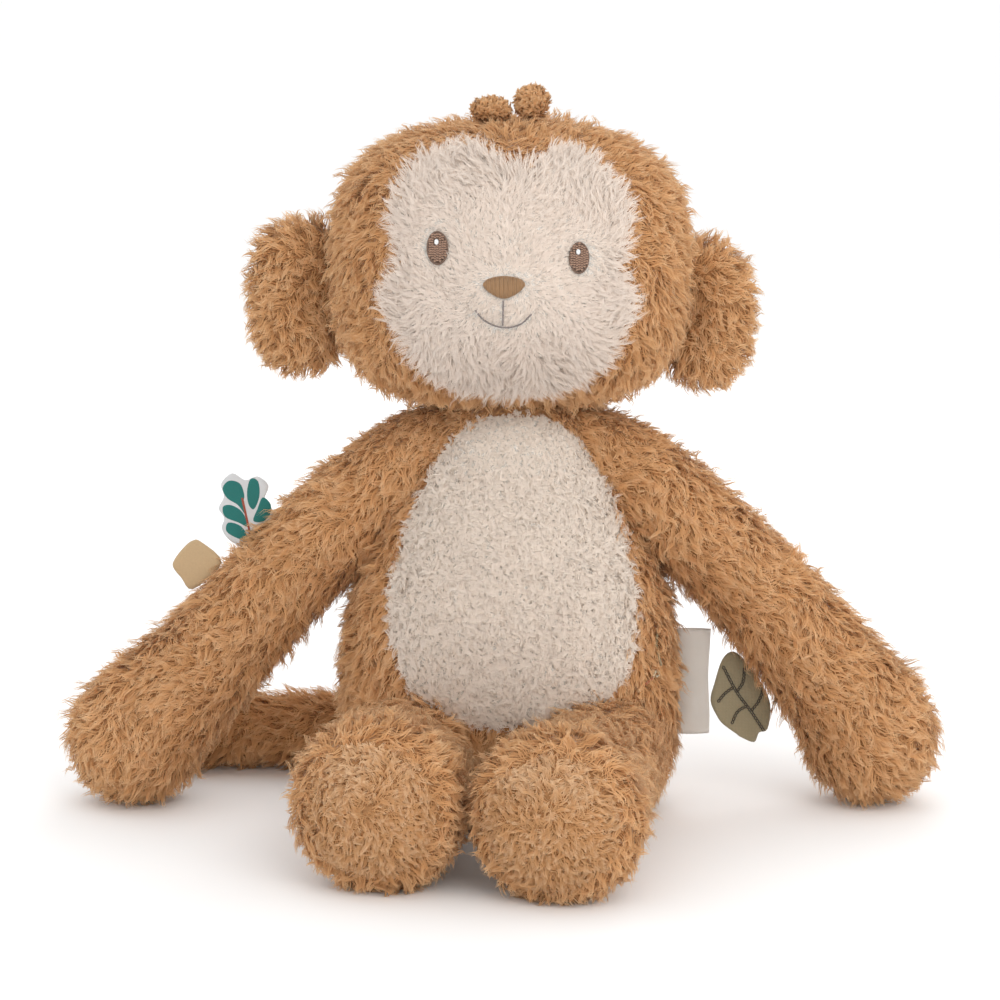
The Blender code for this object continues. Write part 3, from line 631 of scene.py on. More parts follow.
def head_rings(inset, count=72, around=112):
    radii = HEAD_RADII - inset
    rings = []
    for bend in np.linspace(0, math.pi, count):
        height = math.cos(bend)
        full = head_fullness(height)
        width = max(1 - abs(height) ** full, 0) ** (1 / full)
        depth = max(1 - abs(height) ** HEAD_POWER, 0) ** (1 / HEAD_POWER)
        turns = full_turn(around)
        power = 2 / HEAD_POWER
        x = radii[0] * width * np.sign(np.cos(turns)) * np.abs(np.cos(turns)) ** power
        y = radii[1] * depth * np.sign(np.sin(turns)) * np.abs(np.sin(turns)) ** power
        z = np.full(around, radii[2] * height)
        y = y - np.where(y < 0, muzzle(x, z) * np.clip(-y / 30.0, 0, 1), 0)
        rings.append(np.stack([x, y, z], -1) + HEAD_CENTRE)
    return np.array(rings)


def on_face(points, lift):
    """Points drawn in x and z from the head's centre, laid on the face cloth and lifted off it, in millimetres."""
    points = np.atleast_2d(np.asarray(points, float))
    radii = HEAD_RADII - INSET
    height = points[:, 1] / radii[2]
    full = head_fullness(height)
    width = (1 - np.abs(height) ** full) ** (1 / full)
    depth = (1 - np.abs(height) ** HEAD_POWER) ** (1 / HEAD_POWER)
    share = np.clip(1 - np.abs(points[:, 0] / (radii[0] * width)) ** HEAD_POWER, 0, 1) ** (1 / HEAD_POWER)
    y = -radii[1] * depth * share
    y = y - muzzle(points[:, 0], points[:, 1]) * np.clip(-y / 30.0, 0, 1) - PANEL_LIFT - lift
    return np.stack([points[:, 0], y, points[:, 1]], -1) + HEAD_CENTRE


def body_radii(heights, inset):
    """The body's half width and half depth at these heights, in millimetres."""
    profile = smooth_line(BODY_PROFILE, 5)
    halves = ((1, BODY_HALF_WIDTH), (2, BODY_HALF_DEPTH))
    return [np.interp(heights, profile[:, 0], profile[:, column]) * half - inset for column, half in halves]


def body_rings(inset, around=96, count=60):
    heights = np.linspace(0, 1, count) ** 0.9 * (190.0 - inset * 0.6)
    turns = full_turn(around)
    rings = [
        np.stack([max(width, 2.0) * np.cos(turns), max(depth, 2.0) * np.sin(turns), np.full(around, height)], -1)
        for height, width, depth in zip(heights, *body_radii(heights, inset))]
    top, bottom = rings[-1].mean(0) + (0, 0, 1.5), rings[0].mean(0)
    return np.array([np.tile(bottom, (around, 1)), *rings, np.tile(top, (around, 1))])


def ear_rings(centre, radii, side, count=36, around=64):
    """A padded disc with a rolled rim and a shallow dish, flattened towards the head."""
    radii = np.array(radii) - (INSET - 1.5, INSET - 4.5, INSET - 1.5)
    rings = []
    for bend in np.linspace(0, math.pi, count):
        out = np.sin(bend)
        turns = full_turn(around)
        x, z = out * np.cos(turns), out * np.sin(turns)
        y = np.full(around, -np.cos(bend))
        full = (np.abs(x) ** 2.4 + np.abs(y) ** 2.4 + np.abs(z) ** 2.4) ** (-1 / 2.4)
        x, y, z = x * full, y * full, z * full
        inner = -side * x
        dish = 0.42 * np.exp(-(((inner - 0.35) / 0.34) ** 2 + ((z - 0.02) / 0.5) ** 2))
        y = np.where(y < 0, y + dish, y) + 0.9 * np.clip((inner - 0.35) / 0.65, 0, 1) ** 2
        rings.append(np.stack([x * radii[0], y * radii[1], z * radii[2]], -1) + np.array(centre))
    return np.array(rings)


# ---------------------------------------------------------------- pile

def drift(points, scale, seed):
    """Smooth random values near -1 to 1 over the space, for combing and tone."""
    rng = np.random.default_rng(seed)
    total = np.zeros(len(points))
    for _ in range(7):
        direction = unit(rng.normal(size=3)) * rng.uniform(0.6, 1.6) / scale
        total += np.sin(points @ direction * 2 * math.pi + rng.uniform(0, 6.28))
    return total / 2.6


def flat_to(vectors, normals):
    """The vectors' parts that lie along the skin."""
    return unit(vectors - normals * (vectors * normals).sum(-1, keepdims=True))


def turn_about(vectors, normals, angles):
    cos, sin = np.cos(angles)[:, None], np.sin(angles)[:, None]
    return vectors * cos + np.cross(normals, vectors) * sin


def grow(name, roots, normals, comb, pile, seed, **habit):
    """Pile fibres as thin tapering ribbons, gathered in locks.  Returns one or more meshes."""
    style = dict(lean=1.19, lean_spread=0.17, swirl=0.55, curl=0.18, waves=1.15, gather=0.72, bunch=1.5, size=1.0,
                 tone=0.0, patch=0.022, fullness=1.0)
    style.update(habit)
    rng = np.random.default_rng(seed)
    count, strands = len(roots), pile.strands
    size = np.broadcast_to(np.asarray(style["size"], float), count)
    swirl = 1.1 * drift(roots, 0.03, seed + 1) + rng.normal(size=count) * 0.75
    comb = turn_about(comb, normals, style["swirl"] * swirl)
    side = np.cross(normals, comb)
    lean = style["lean"] + style["lean_spread"] * rng.normal(size=count) * 0.8
    stray = rng.random(count) < 0.07
    lean = np.clip(np.where(stray, lean * 0.62, lean), 0.15, 1.42)[:, None]
    length = pile.length * size * rng.uniform(0.72, 1.18, count)
    phase = rng.uniform(0, 2 * math.pi, (count, 1))
    waves = style["waves"] * rng.uniform(0.7, 1.35, (count, 1))
    amount = style["curl"] * rng.uniform(0.5, 1.3, (count, 1))
    lock_tone = 0.5 * drift(roots, style["patch"], seed + 2) + rng.normal(size=count) * 0.55 + style["tone"]

    share = RIBBON_STEPS[None, :]

    def lay(own_phase, own_length):
        """The fibres' lines: (count, 5, 3)."""
        rise = (np.cos(lean) * (1.5 * share - 0.5 * share ** 2))[..., None] * normals[:, None]
        reach = (np.sin(lean) * (0.6 * share + 0.4 * share ** 2))[..., None] * comb[:, None]
        wave = 2 * math.pi * waves * share + phase + own_phase
        sway = (amount * share ** 0.8 * (np.sin(wave) - np.sin(phase + own_phase)))[..., None] * side[:, None]
        lift = (amount * 0.45 * share ** 0.8 * (np.cos(wave) - np.cos(phase + own_phase)))[..., None] * normals[:, None]
        return (rise + reach + sway + lift) * (length * own_length)[:, None, None]

    points, facing, tones = [], [], []
    widths = pile.width * np.array([1.0, 1.0, 0.86, 0.6])
    for _ in range(strands):
        angle = rng.uniform(0, 2 * math.pi, count)
        away = np.sqrt(rng.random(count)) * style["bunch"] * 0.5 * pile.spacing * 1.3
        offset = (side * np.cos(angle)[:, None] + comb * np.sin(angle)[:, None]) * away[:, None]
        line = roots[:, None] + offset[:, None] * (1 - style["gather"] * share ** 0.8)[..., None]
        line = line + lay(rng.normal(size=(count, 1)) * 0.35, rng.uniform(0.72, 1.06, count))
        tangent = unit(np.gradient(line, axis=1))
        roll = rng.normal(size=count) * 0.4
        tilted = unit(normals + side * np.tan(np.clip(roll, -1.1, 1.1))[:, None])
        across = unit(np.cross(tangent, tilted[:, None]))
        front = np.cross(across, tangent)
        half = across[:, :4] * (widths[None, :, None] * 0.5)
        left, right = line[:, :4] - half, line[:, :4] + half
        points.append(np.concatenate([np.stack([left, right], 2).reshape(count, 8, 3), line[:, 4:]], 1))
        outward, crown = 1.5 * normals[:, None], 0.4 * style["fullness"]
        round_left = unit(front[:, :4] * crown + outward - across[:, :4] * crown)
        round_right = unit(front[:, :4] * crown + outward + across[:, :4] * crown)
        tip = unit(front[:, 4:] * crown + outward)
        facing.append(np.concatenate([np.stack([round_left, round_right], 2).reshape(count, 8, 3), tip], 1))
        tones.append(lock_tone + rng.normal(size=count) * 0.3)
    points = np.stack(points, 1).reshape(-1, 9, 3)
    points[..., 2] = np.maximum(points[..., 2], FLOOR_CLEARANCE)
    facing = np.stack(facing, 1).reshape(-1, 9, 3)
    tones = np.clip(0.5 + 0.2 * np.stack(tones, 1).reshape(-1), 0.01, 0.99)
    pieces = max(1, math.ceil(len(points) / MOST_FIBRES))
    made = []
    for part in range(pieces):
        chosen = slice(part * len(points) // pieces, (part + 1) * len(points) // pieces)
        label = name if pieces == 1 else f"{name}_{part + 1}"
        made.append(ribbon_mesh(label, points[chosen], facing[chosen], tones[chosen]))
    return made


def ribbon_mesh(name, points, facing, tones):
    """Ribbons of nine points each, mapped by tone across and by height along."""
    count = len(points)
    quad = np.array([[0, 1, 3, 2], [2, 3, 5, 4], [4, 5, 7, 6]]).ravel()
    corners = np.concatenate([quad, [6, 7, 8]])
    loops = (np.arange(count)[:, None] * 9 + corners[None]).ravel().astype(np.int32)
    starts = (np.arange(count)[:, None] * 15 + np.array([0, 4, 8, 12])[None]).ravel().astype(np.int32)
    mesh = bpy.data.meshes.new(name)
    mesh.vertices.add(count * 9)
    mesh.vertices.foreach_set("co", points.astype(np.float32).ravel())
    mesh.loops.add(len(loops))
    mesh.loops.foreach_set("vertex_index", loops)
    mesh.polygons.add(len(starts))
    mesh.polygons.foreach_set("loop_start", starts)
    mesh.polygons.foreach_set("use_smooth", np.ones(len(starts), bool))
    strip = (np.floor(tones * TONES) + 0.5) / TONES
    along = RIBBON_STEPS * 0.94 + 0.03
    u = strip[:, None] + np.array([-0.4, 0.4] * 4 + [0.0])[None] / TONES
    v = np.repeat(along, [2, 2, 2, 2, 1])[None].repeat(count, 0)
    spots = np.stack([u, v], -1)[:, corners].reshape(-1)
    mesh.uv_layers.new(name="OFBake").data.foreach_set("uv", spots.astype(np.float32))
    mesh.update(calc_edges=True)
    normals = mesh.attributes.new("custom_normal", "FLOAT_VECTOR", "POINT")
    normals.data.foreach_set("vector", facing.astype(np.float32).ravel())
    mesh.update()
    return mesh


# ---------------------------------------------------------------- making pieces

def smooth_mesh(name, points, faces):
    mesh = bpy.data.meshes.new(name)
    mesh.from_pydata(points.tolist(), [], faces)
    mesh.update()
    mesh.polygons.foreach_set("use_smooth", np.ones(len(faces), bool))
    return mesh


def put(mesh, finish):
    """A mesh as an object in the scene, with its finish or finishes."""
    piece = bpy.data.objects.new(mesh.name, mesh)
    bpy.context.scene.collection.objects.link(piece)
    for look in finish if isinstance(finish, list) else [finish]:
        mesh.materials.append(look)
    return piece


def hold(pieces, body, seam=None):
    """The pieces ride on a body, or, when a seam is given, are only baked in place without riding on anything."""
    for piece in pieces:
        if seam:
            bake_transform(piece)
        else:
            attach(piece, body)


def seam_of(line):
    """Where a limb leaves the torso: its line's first two points, in metres."""
    return [tuple(np.array(spot[:3]) * MM) for spot in line[:2]]


def cord_mesh(name, lines, radius, sides=6):
    """Round threads along lines of points, in millimetres, each thinned at both ends."""
    points, faces = [], []
    for line in lines:
        tangents = unit(np.gradient(line, axis=0))
        first = len(points)
        thin = np.sqrt(np.clip(1 - np.abs(np.linspace(-1, 1, len(line))) ** 4, 0.05, 1))
        for place, tangent, part in zip(line, tangents, thin):
            helper = np.array([0.0, 1.0, 0.0]) if abs(tangent[1]) < 0.9 else np.array([1.0, 0.0, 0.0])
            one = unit(np.cross(tangent, helper))
            two = np.cross(tangent, one)
            for turn in np.arange(sides) * 2 * math.pi / sides:
                points.append(place + radius * part * (one * math.cos(turn) + two * math.sin(turn)))
        last = len(points) - sides
        faces += ring_faces(len(line), sides, first)
        faces += [tuple(range(first, first + sides))[::-1], tuple(range(last, last + sides))]
    return smooth_mesh(name, np.array(points) * MM, faces)


def stitch_spots(path, pitch, before, after, spare, count):
    """A path in two dimensions cut into stitches, each reaching before and after its start, in millimetres."""
    along = np.concatenate([[0], np.cumsum(np.linalg.norm(np.diff(path, axis=0), axis=1))])
    for start in np.arange(0, along[-1] - spare, pitch):
        at = np.linspace(start - before, min(start + after, along[-1]), count)
        yield np.stack([np.interp(at, along, path[:, k]) for k in range(2)], -1)


def arch(count, start=0.0):
    """How far a stitch of that many points stands off its cloth, from 0 to 1."""
    return np.sin(np.linspace(start, math.pi, count))


def face_stitch(spots, lift, height, start=0.0):
    """A stitch on the face through spots, lifted off the cloth and arched forward."""
    path = on_face(spots, lift)
    path[:, 1] -= height * arch(len(path), start)
    return path


def in_box(node, outline, grown=1.0, moved=(0.0, 0.0)):
    """An outline drawn from 0 to 1 across a CAD node's box, in millimetres, then grown about its middle and moved."""
    low, high = (np.array(corner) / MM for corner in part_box(node))
    spots = (np.asarray(outline, float) - 0.5) * grown + 0.5 + np.asarray(moved)
    return np.stack([low[0] + spots[:, 0] * (high[0] - low[0]), low[2] + spots[:, 1] * (high[2] - low[2])], -1)


class MonkeyOperator:
    """What the operators share."""
    bl_options = {"REGISTER", "UNDO"}

    @property
    def toy(self):
        return bpy.context.scene.plush_monkey

    def backing(self, name, skin, body, fill, *nodes, pick=None, seam=None):
        """The padded cloth under the pile, cream where pick says so, in place of its CAD nodes."""
        look = finishes()
        looks = [look["fawn_backing"], look["cream_backing"]] if pick else look["fawn_backing"]
        piece = put(skin.mesh(f"{name}_backing", pick), looks)
        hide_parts(*nodes)
        hold([piece], body, seam)

    def cover(self, name, kind, roots, normals, comb, seed, body, seam=None, **habit):
        """Pile of one kind on a body, combed along the skin."""
        meshes = grow(name, roots, normals, flat_to(comb, normals), getattr(self.toy, kind), seed, **habit)
        hold([put(mesh, finishes()[kind]) for mesh in meshes], body, seam)

    def sew(self, name, lines, radius, thread, slot, body, node=None):
        """Threads of one colour on a body, in place of a CAD node."""
        piece = put(cord_mesh(name, lines, radius), finishes()[thread])
        if node:
            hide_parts(node)
        hold([piece], body)


class MONKEY_OT_head(MonkeyOperator, bpy.types.Operator):
    """Head: backing, long fawn pile, and the fluffy cream pile of the face"""
    bl_idname = "monkey.head"
    bl_label = "Head"

    def execute(self, context):
        outline = smooth_line(FACE_OUTLINE, 6, True)
        centre = HEAD_CENTRE * MM
        front = centre[1] - FACE_FRONT

        def drawn(points):
            return (points[:, [0, 2]] - centre[[0, 2]]) / MM

        def on_panel(points):
            """Inside the face's edge, set in by the pile that lies over it."""
            spots = drawn(points)
            overlap = 6.0 * np.clip((spots[:, 1] + 46.0) / 22.0, 0.1, 1)
            clear = distance_to(spots, outline, True) > overlap
            return (points[:, 1] < front) & inside(spots, outline) & clear

        def on_fawn(points):
            at_neck = (points[:, 2] < NECK_HEIGHT) & (np.hypot(points[:, 0], points[:, 1]) < NECK_REACH)
            return ~on_panel(points) & ~at_neck

        skin = Skin(head_rings(INSET), floor=False).puffed(outline, drawn, front)
        self.backing("head", skin, "head", 0.8, "head_skin", "head_filling", "face_panel", pick=on_panel)
        roots, normals, _ = skin.scatter(self.toy.fawn.spacing, 11, on_fawn)
        crown = centre + np.array([0.0, -0.02, 0.01])
        comb = unit(roots - crown) + np.array([0.0, 0.15, -0.75])
        near = np.clip(distance_to(drawn(roots), outline, True) / 8.0, 0, 1)
        by_face = np.where(inside(drawn(roots), outline), 0.45, 0.6 + 0.4 * near)
        size = np.where(roots[:, 1] < centre[1], by_face, 1.0)
        self.cover("head_pile", "fawn", roots, normals, comb, 21, "head", size=size)
        self.face(*skin.scatter(self.toy.face.spacing, 12, on_panel)[:2], outline, drawn)
        return {"FINISHED"}

    def face(self, roots, normals, outline, drawn):
        """Cream pile that fans out from the muzzle and lies shorter round the stitches."""
        flat = drawn(roots)
        clear = np.full(len(flat), 99.0)
        stitched = clear.copy()
        within = np.zeros(len(flat), bool)
        eyes = [oval((x, z), np.array(EYE_RADII) * scale + 0.3, full_turn(24)) for x, z, scale in EYES.values()]
        for patch in (*eyes, smooth_line(NOSE_OUTLINE, 3, True)):
            clear = np.minimum(clear, distance_to(flat, patch, True))
            within |= inside(flat, patch)
        for line in (PHILTRUM_LINE, SMILE_LINE):
            stitched = np.minimum(stitched, distance_to(flat, smooth_line(line, 4)))
        keep = ~within & (clear > 0.3) & (stitched > 0.7)
        roots, normals, flat, clear, stitched = (a[keep] for a in (roots, normals, flat, clear, stitched))
        away = flat - np.array([-2.6, -6.0])
        comb = np.stack([away[:, 0], 0 * away[:, 0], away[:, 1]], -1) + 1e-6
        edge = distance_to(flat, outline, True)
        size = np.clip(np.minimum(0.16 + 0.085 * clear, 0.20 + 0.10 * stitched), 0.16, 1.25)
        size = np.minimum(size, 0.5 + 0.75 * np.clip(1 - (edge - 4.0) / 22.0, 0, 1))
        lean = np.where(edge < 12, 1.14, 1.26)
        self.cover(
            "face_pile", "face", roots, normals, comb, 22, "head", size=size, lean=lean, lean_spread=0.22, swirl=0.6,
            curl=0.12, waves=1.0, gather=0.5, patch=0.03, fullness=0.2)


class MONKEY_OT_embroidery(MonkeyOperator, bpy.types.Operator):
    """Embroidery: chain-stitched eyes with white glints, satin-stitched nose, back-stitched mouth"""
    bl_idname = "monkey.embroidery"
    bl_label = "Embroidery"

    def execute(self, context):
        for number, (name, (x, z, scale)) in enumerate(EYES.items()):
            self.eye(name, np.array([x, z]), np.array(EYE_RADII) * scale, 40 + number)
        self.nose()
        for name, line in (("philtrum", PHILTRUM_LINE), ("smile", SMILE_LINE)):
            spots = stitch_spots(smooth_line(line, 12), 1.55, 0.25, 1.8, 0.6, 6)
            stitches = [face_stitch(spot, 1.7, 0.5) for spot in spots]
            self.sew(f"{name}_stitches", stitches, 0.36, "mouth", "mouth_thread", "head", name)
        return {"FINISHED"}

    def nose(self):
        """Satin stitch: upright threads side by side over a pad."""
        outline = smooth_line(NOSE_OUTLINE, 4, True)
        lines = []
        for x in np.arange(outline[:, 0].min() + 0.25, outline[:, 0].max() - 0.1, 0.50):
            crossings = [
                az + (bz - az) * (x - ax) / (bx - ax)
                for (ax, az), (bx, bz) in zip(outline, np.roll(outline, -1, 0)) if (ax > x) != (bx > x)]
            low, high = min(crossings), max(crossings)
            if high - low < 0.5:
                continue
            share = np.linspace(0, 1, 9)
            path = on_face(np.stack([np.full(9, x), low + (high - low) * share], -1), 1.0)
            path[:, 1] -= 1.25 * np.sqrt(np.clip(np.sin(share * math.pi), 0, 1))
            lines.append(path)
        self.sew("nose_stitches", lines, 0.27, "nose", "nose_thread", "head", "nose")
        self.pad("nose_pad", outline, 1.5, "nose", "nose_thread")

    def pad(self, name, outline, lift, finish, slot):
        """A low dome that fills an outline on the face, under its stitches."""
        centre, around = outline.mean(0), len(outline)
        shares = (0.35, 0.65, 0.85, 0.97)
        points = [on_face(centre, lift + 0.5)]
        for share in shares:
            points.append(on_face(centre + (outline - centre) * share, lift + 0.5 - 2.0 * share ** 4))
        points.append(on_face(centre + (outline - centre) * 0.98, -0.5))
        faces = [(0, 1 + i, 1 + (i + 1) % around) for i in range(around)]
        faces += [(a, d, c, b) for a, b, c, d in ring_faces(len(shares) + 1, around, 1)]
        hold([put(smooth_mesh(name, np.vstack(points) * MM, faces), finishes()[finish])], "head")

    def eye(self, name, centre, radii, seed):
        """Rows of chain stitch on a pad with a stitched border, and a small satin glint."""
        rng = np.random.default_rng(seed)
        # The pad takes the dark border thread's colour; between the chain stitches it shows as painted shade in the
        # gaps.
        self.pad(f"{name}_pad", oval(centre, radii, full_turn(28)), 1.4, "eye_edge", "eye_thread")
        border = [
            face_stitch(oval(centre, radii - 0.15, turn + np.linspace(-0.15, 0.15, 5)), 1.3, 0.45)
            for turn in np.arange(30) * 2 * math.pi / 30]
        self.sew(f"{name}_border", border, 0.42, "eye_edge", "eye_thread", "head")
        chains, glints = [], []
        glint = centre + np.array([-0.35, GLINT_LIFT])
        for column, x in enumerate(np.arange(-3.0, 3.3, 1.02)):
            reach = (radii[1] - 0.9) * math.sqrt(max(0.0, 1 - (x / (radii[0] - 0.3)) ** 2))
            for z in np.arange(-reach, reach, 0.92):
                spot = centre + np.array([x, z + 0.46 * (column % 2)])
                if np.linalg.norm((spot + (0, 0.3) - glint) / (1.0, 1.5)) < 1:
                    continue
                for lean in (-1, 1):
                    at = np.linspace(0, 1, 5)[:, None]
                    leg = spot + np.array([lean * 0.40, 0.62]) * at + rng.normal(size=2) * 0.04
                    chains.append(face_stitch(leg, 1.6, 0.55, 0.3))
        self.sew(f"{name}_stitches", chains, 0.27, "eye", "eye_thread", "head", name)
        for x in np.arange(-0.56, 0.6, 0.28):
            reach = 1.2 * math.sqrt(max(0.05, 1 - (x / 0.75) ** 2))
            path = on_face(glint + np.stack([np.full(7, x), np.linspace(-reach, reach, 7)], -1), 2.2)
            path[:, 1] -= 0.5 * np.sqrt(arch(7).clip(0, 1))
            glints.append(path)
        self.sew(f"{name}_glint_stitches", glints, 0.24, "glint", "glint_thread", "head", f"{name}_glint")


class MONKEY_OT_ears(MonkeyOperator, bpy.types.Operator):
    """Ears: puffed discs with a rolled rim and a shallow dish"""
    bl_idname = "monkey.ears"
    bl_label = "Ears"

    def execute(self, context):
        for number, (side, (centre, radii)) in enumerate(EARS.items()):
            sign, name = SIGNS[side], f"{side}_ear"
            skin = Skin(ear_rings(centre, radii, sign), floor=False)
            self.backing(name, skin, name, 0.6, f"{name}_skin", f"{name}_filling")
            roots, normals, _ = skin.scatter(self.toy.fawn.spacing, 31 + number)
            spread = roots - np.array(centre) * MM - np.array([-sign * 0.021, 0, 0.014])
            self.cover(
                f"{name}_pile", "fawn", roots, normals, unit(spread) + np.array([0, 0, -0.35]), 33 + number, name,
                size=0.86, swirl=0.75, lean=0.92)
        return {"FINISHED"}


class MONKEY_OT_hair_loops(MonkeyOperator, bpy.types.Operator):
    """Hair loops: two small knobs of short pile on the crown"""
    bl_idname = "monkey.hair_loops"
    bl_label = "Hair loops"

    def execute(self, context):
        for number, (name, (centre, radii)) in enumerate(HAIR_LOOPS.items()):
            turns, bends = full_turn(28), np.linspace(0, math.pi, 18)[:, None]
            ball = np.stack([
                np.sin(bends) * np.cos(turns), np.sin(bends) * np.sin(turns), np.cos(bends) + 0 * turns], -1)
            rings = ball * (np.array(radii) - (1.2, 1.0, 1.0)) + np.array(centre) - (0, 0, 1.0)
            skin = Skin(rings, floor=False)
            self.backing(name, skin, "head", 0.8, name)
            roots, normals, _ = skin.scatter(0.00105, 41 + number)
            comb = np.tile([0.3, -0.2, 1.0], (len(roots), 1)) + 1e-6
            self.cover(
                f"{name}_pile", "fawn", roots, normals, comb, 43 + number, "head", size=0.27, swirl=1.4, lean=0.95,
                bunch=0.6, tone=0.3, curl=0.2)
        return {"FINISHED"}


class MONKEY_OT_body(MonkeyOperator, bpy.types.Operator):
    """Body: pear-shaped backing, fawn pile, and the nubbly cream pile of the belly"""
    bl_idname = "monkey.body"
    bl_label = "Body"

    def execute(self, context):
        outline = smooth_line([(x * BODY_HALF_WIDTH, z) for x, z in BELLY_OUTLINE], 6, True)

        def drawn(points):
            return points[:, [0, 2]] / MM

        def on_panel(points):
            return (points[:, 1] < -BELLY_FRONT) & inside(drawn(points), outline)

        def on_fawn(points):
            return ~on_panel(points) & (points[:, 2] < 0.172) & (points[:, 2] > PILE_REST)

        skin = Skin(body_rings(INSET)).puffed(outline, drawn, -BELLY_FRONT)
        self.backing("body", skin, "torso", 0.75, "body_skin", "body_filling", "belly_panel", pick=on_panel)
        roots, normals, _ = skin.scatter(self.toy.fawn.spacing, 51, on_fawn)
        comb = np.tile([0.0, 0.0, -1.0], (len(roots), 1)) + 0.4 * normals[:, [1, 0, 2]] * [1, -1, 0]
        near = np.clip(distance_to(drawn(roots), outline, True) / 6.0, 0, 1)
        size = np.where(roots[:, 1] < 0, 0.7 + 0.3 * near, 1.0) * np.where(roots[:, 2] > 0.150, 0.6, 1.0)
        self.cover("body_pile", "fawn", roots, normals, comb, 52, "torso", size=size)
        roots, normals, _ = skin.scatter(self.toy.belly.spacing, 53, on_panel)
        size = np.where(roots[:, 2] > 0.148, 0.55, 1.0)
        comb = np.tile([0.1, 0.0, -1.0], (len(roots), 1))
        self.cover(
            "belly_pile", "belly", roots, normals, comb, 54, "torso", size=size, lean=1.22, lean_spread=0.2, swirl=2.0,
            curl=0.3, waves=1.3, gather=0.45, bunch=1.3, patch=0.012, fullness=0.2)
        return {"FINISHED"}


class MONKEY_OT_arms(MonkeyOperator, bpy.types.Operator):
    """Arms: long padded tubes that end in mittens resting on the floor"""
    bl_idname = "monkey.arms"
    bl_label = "Arms"

    def execute(self, context):
        for number, (side, line) in enumerate(ARMS.items()):
            sign, name, seam = SIGNS[side], f"{side}_arm", seam_of(line)

            def on_arm(points):
                return (points[:, 0] * sign > 0.027) & (points[:, 2] > PILE_REST)

            rings = tube([(sign * 27.0, 2.0, 157.0, 20.0), *line], INSET, np.array([0.0, 1.0, 0.0]))
            skin = Skin(self.mitten(rings, sign))
            self.backing(name, skin, name, 0.65, f"{name}_skin", f"{name}_filling", seam=seam)
            roots, normals, _ = skin.scatter(self.toy.fawn.spacing, 61 + number, on_arm)
            comb = np.tile([sign * 0.72, -0.1, -0.7], (len(roots), 1))
            size = np.where(roots[:, 2] > 0.150, 0.7, 1.0)
            self.cover(f"{name}_pile", "fawn", roots, normals, comb, 63 + number, name, seam, size=size, swirl=0.62)
        return {"FINISHED"}

    def mitten(self, rings, sign):
        """Pulls the thumb side up in a soft ridge with a fold beside it, and flattens what rests on the floor."""
        x, y, z = rings[..., 0], rings[..., 1], rings[..., 2]
        along = sign * x
        ridge = 5.5 * np.exp(-(((along - 172) / 13) ** 2 + ((z - 62) / 16) ** 2 + ((y + 14) / 16) ** 2))
        fold = 6.0 * np.exp(-(((along - 158) / 6) ** 2 + ((z - 52) / 15) ** 2 + ((y + 26) / 12) ** 2))
        sag = np.clip((26.0 - z) / 26.0, 0, 1) ** 2
        spread = 3.0 * np.clip((70.0 - z) / 40.0, 0, 1) + 3.0 * sag * np.clip((along - 150.0) / 25.0, 0, 1)
        out = rings.copy()
        out[..., 0] += sign * ridge
        out[..., 2] += ridge * 0.8
        out[..., 1] += fold - ridge * 0.5
        out[..., 0] += sign * spread
        out[..., 1] += 4.0 * sag * np.clip((y - 5.0) / 25.0, -1, 1)
        return out


class MONKEY_OT_legs(MonkeyOperator, bpy.types.Operator):
    """Legs: short padded tubes with round soles turned to the front"""
    bl_idname = "monkey.legs"
    bl_label = "Legs"

    def execute(self, context):
        for number, (side, line) in enumerate(LEGS.items()):
            name, seam = f"{side}_leg", seam_of(line)
            foot = np.array(line[-1][:3])
            front = unit(foot - np.array(line[-2][:3]))
            rings = tube(line, INSET, np.array([0.0, 0.0, 1.0]), cap=16, around=56)
            skin = Skin(self.soled(rings, foot, front))
            self.backing(name, skin, name, 0.7, f"{name}_skin", f"{name}_filling", f"{side}_sole", seam=seam)
            for kind, piece, seed in (("fawn", "leg_pile", 71), ("sole", "sole_pile", 75)):
                sole = kind == "sole"
                spacing = getattr(self.toy, kind).spacing
                roots, normals, _ = skin.scatter(spacing, seed + number)
                depth = (roots - foot * MM) @ front
                away = roots - foot * MM - depth[:, None] * front
                reach = np.linalg.norm(away, axis=1)
                on_sole = (depth > 0.004) & (reach < SOLE_REACH)
                keep = (roots[:, 1] < -0.024) & (roots[:, 2] > PILE_REST) & (on_sole == sole)
                roots, normals, depth, away, reach = (a[keep] for a in (roots, normals, depth, away, reach))
                comb = np.where(depth[:, None] > 0, unit(away + 1e-9) + [0, 0, -0.8], front + [0.0, 0.0, -0.5])
                if sole:
                    size = 0.8 + 0.25 * np.clip((SOLE_REACH - reach) / 0.003, 0, 1)
                    # The sole's pile tone rises with height on the sole: painted light on its top and painted shade
                    # towards its bottom.
                    habit = {"tone": 2.4 * np.clip((away[:, 2] - 0.004) / 0.018, 0, 1) - 0.8, "fullness": 0.5}
                else:
                    size, habit = np.clip(0.95 - 9.0 * depth, 0.55, 1.0), {}
                self.cover(
                    f"{side}_{piece}", kind, roots, normals, comb, seed + 2 + number, name, seam, size=size, swirl=1.0,
                    **habit)
        return {"FINISHED"}

    def soled(self, rings, foot, front):
        """Flattens the foot's end into a sole, with a groove where the sole is sewn in."""
        depth = (rings - foot) @ front
        out = rings - front * (np.where(depth > 0, depth * (1 - SOLE_FLATNESS), 0)[..., None])
        away = np.linalg.norm((out - foot) - ((out - foot) @ front)[..., None] * front, axis=-1)
        groove = 1.6 * np.exp(-((away - (SOLE_RADIUS - 3.0)) / 1.8) ** 2) * (depth > 2)
        return out - front * groove[..., None]


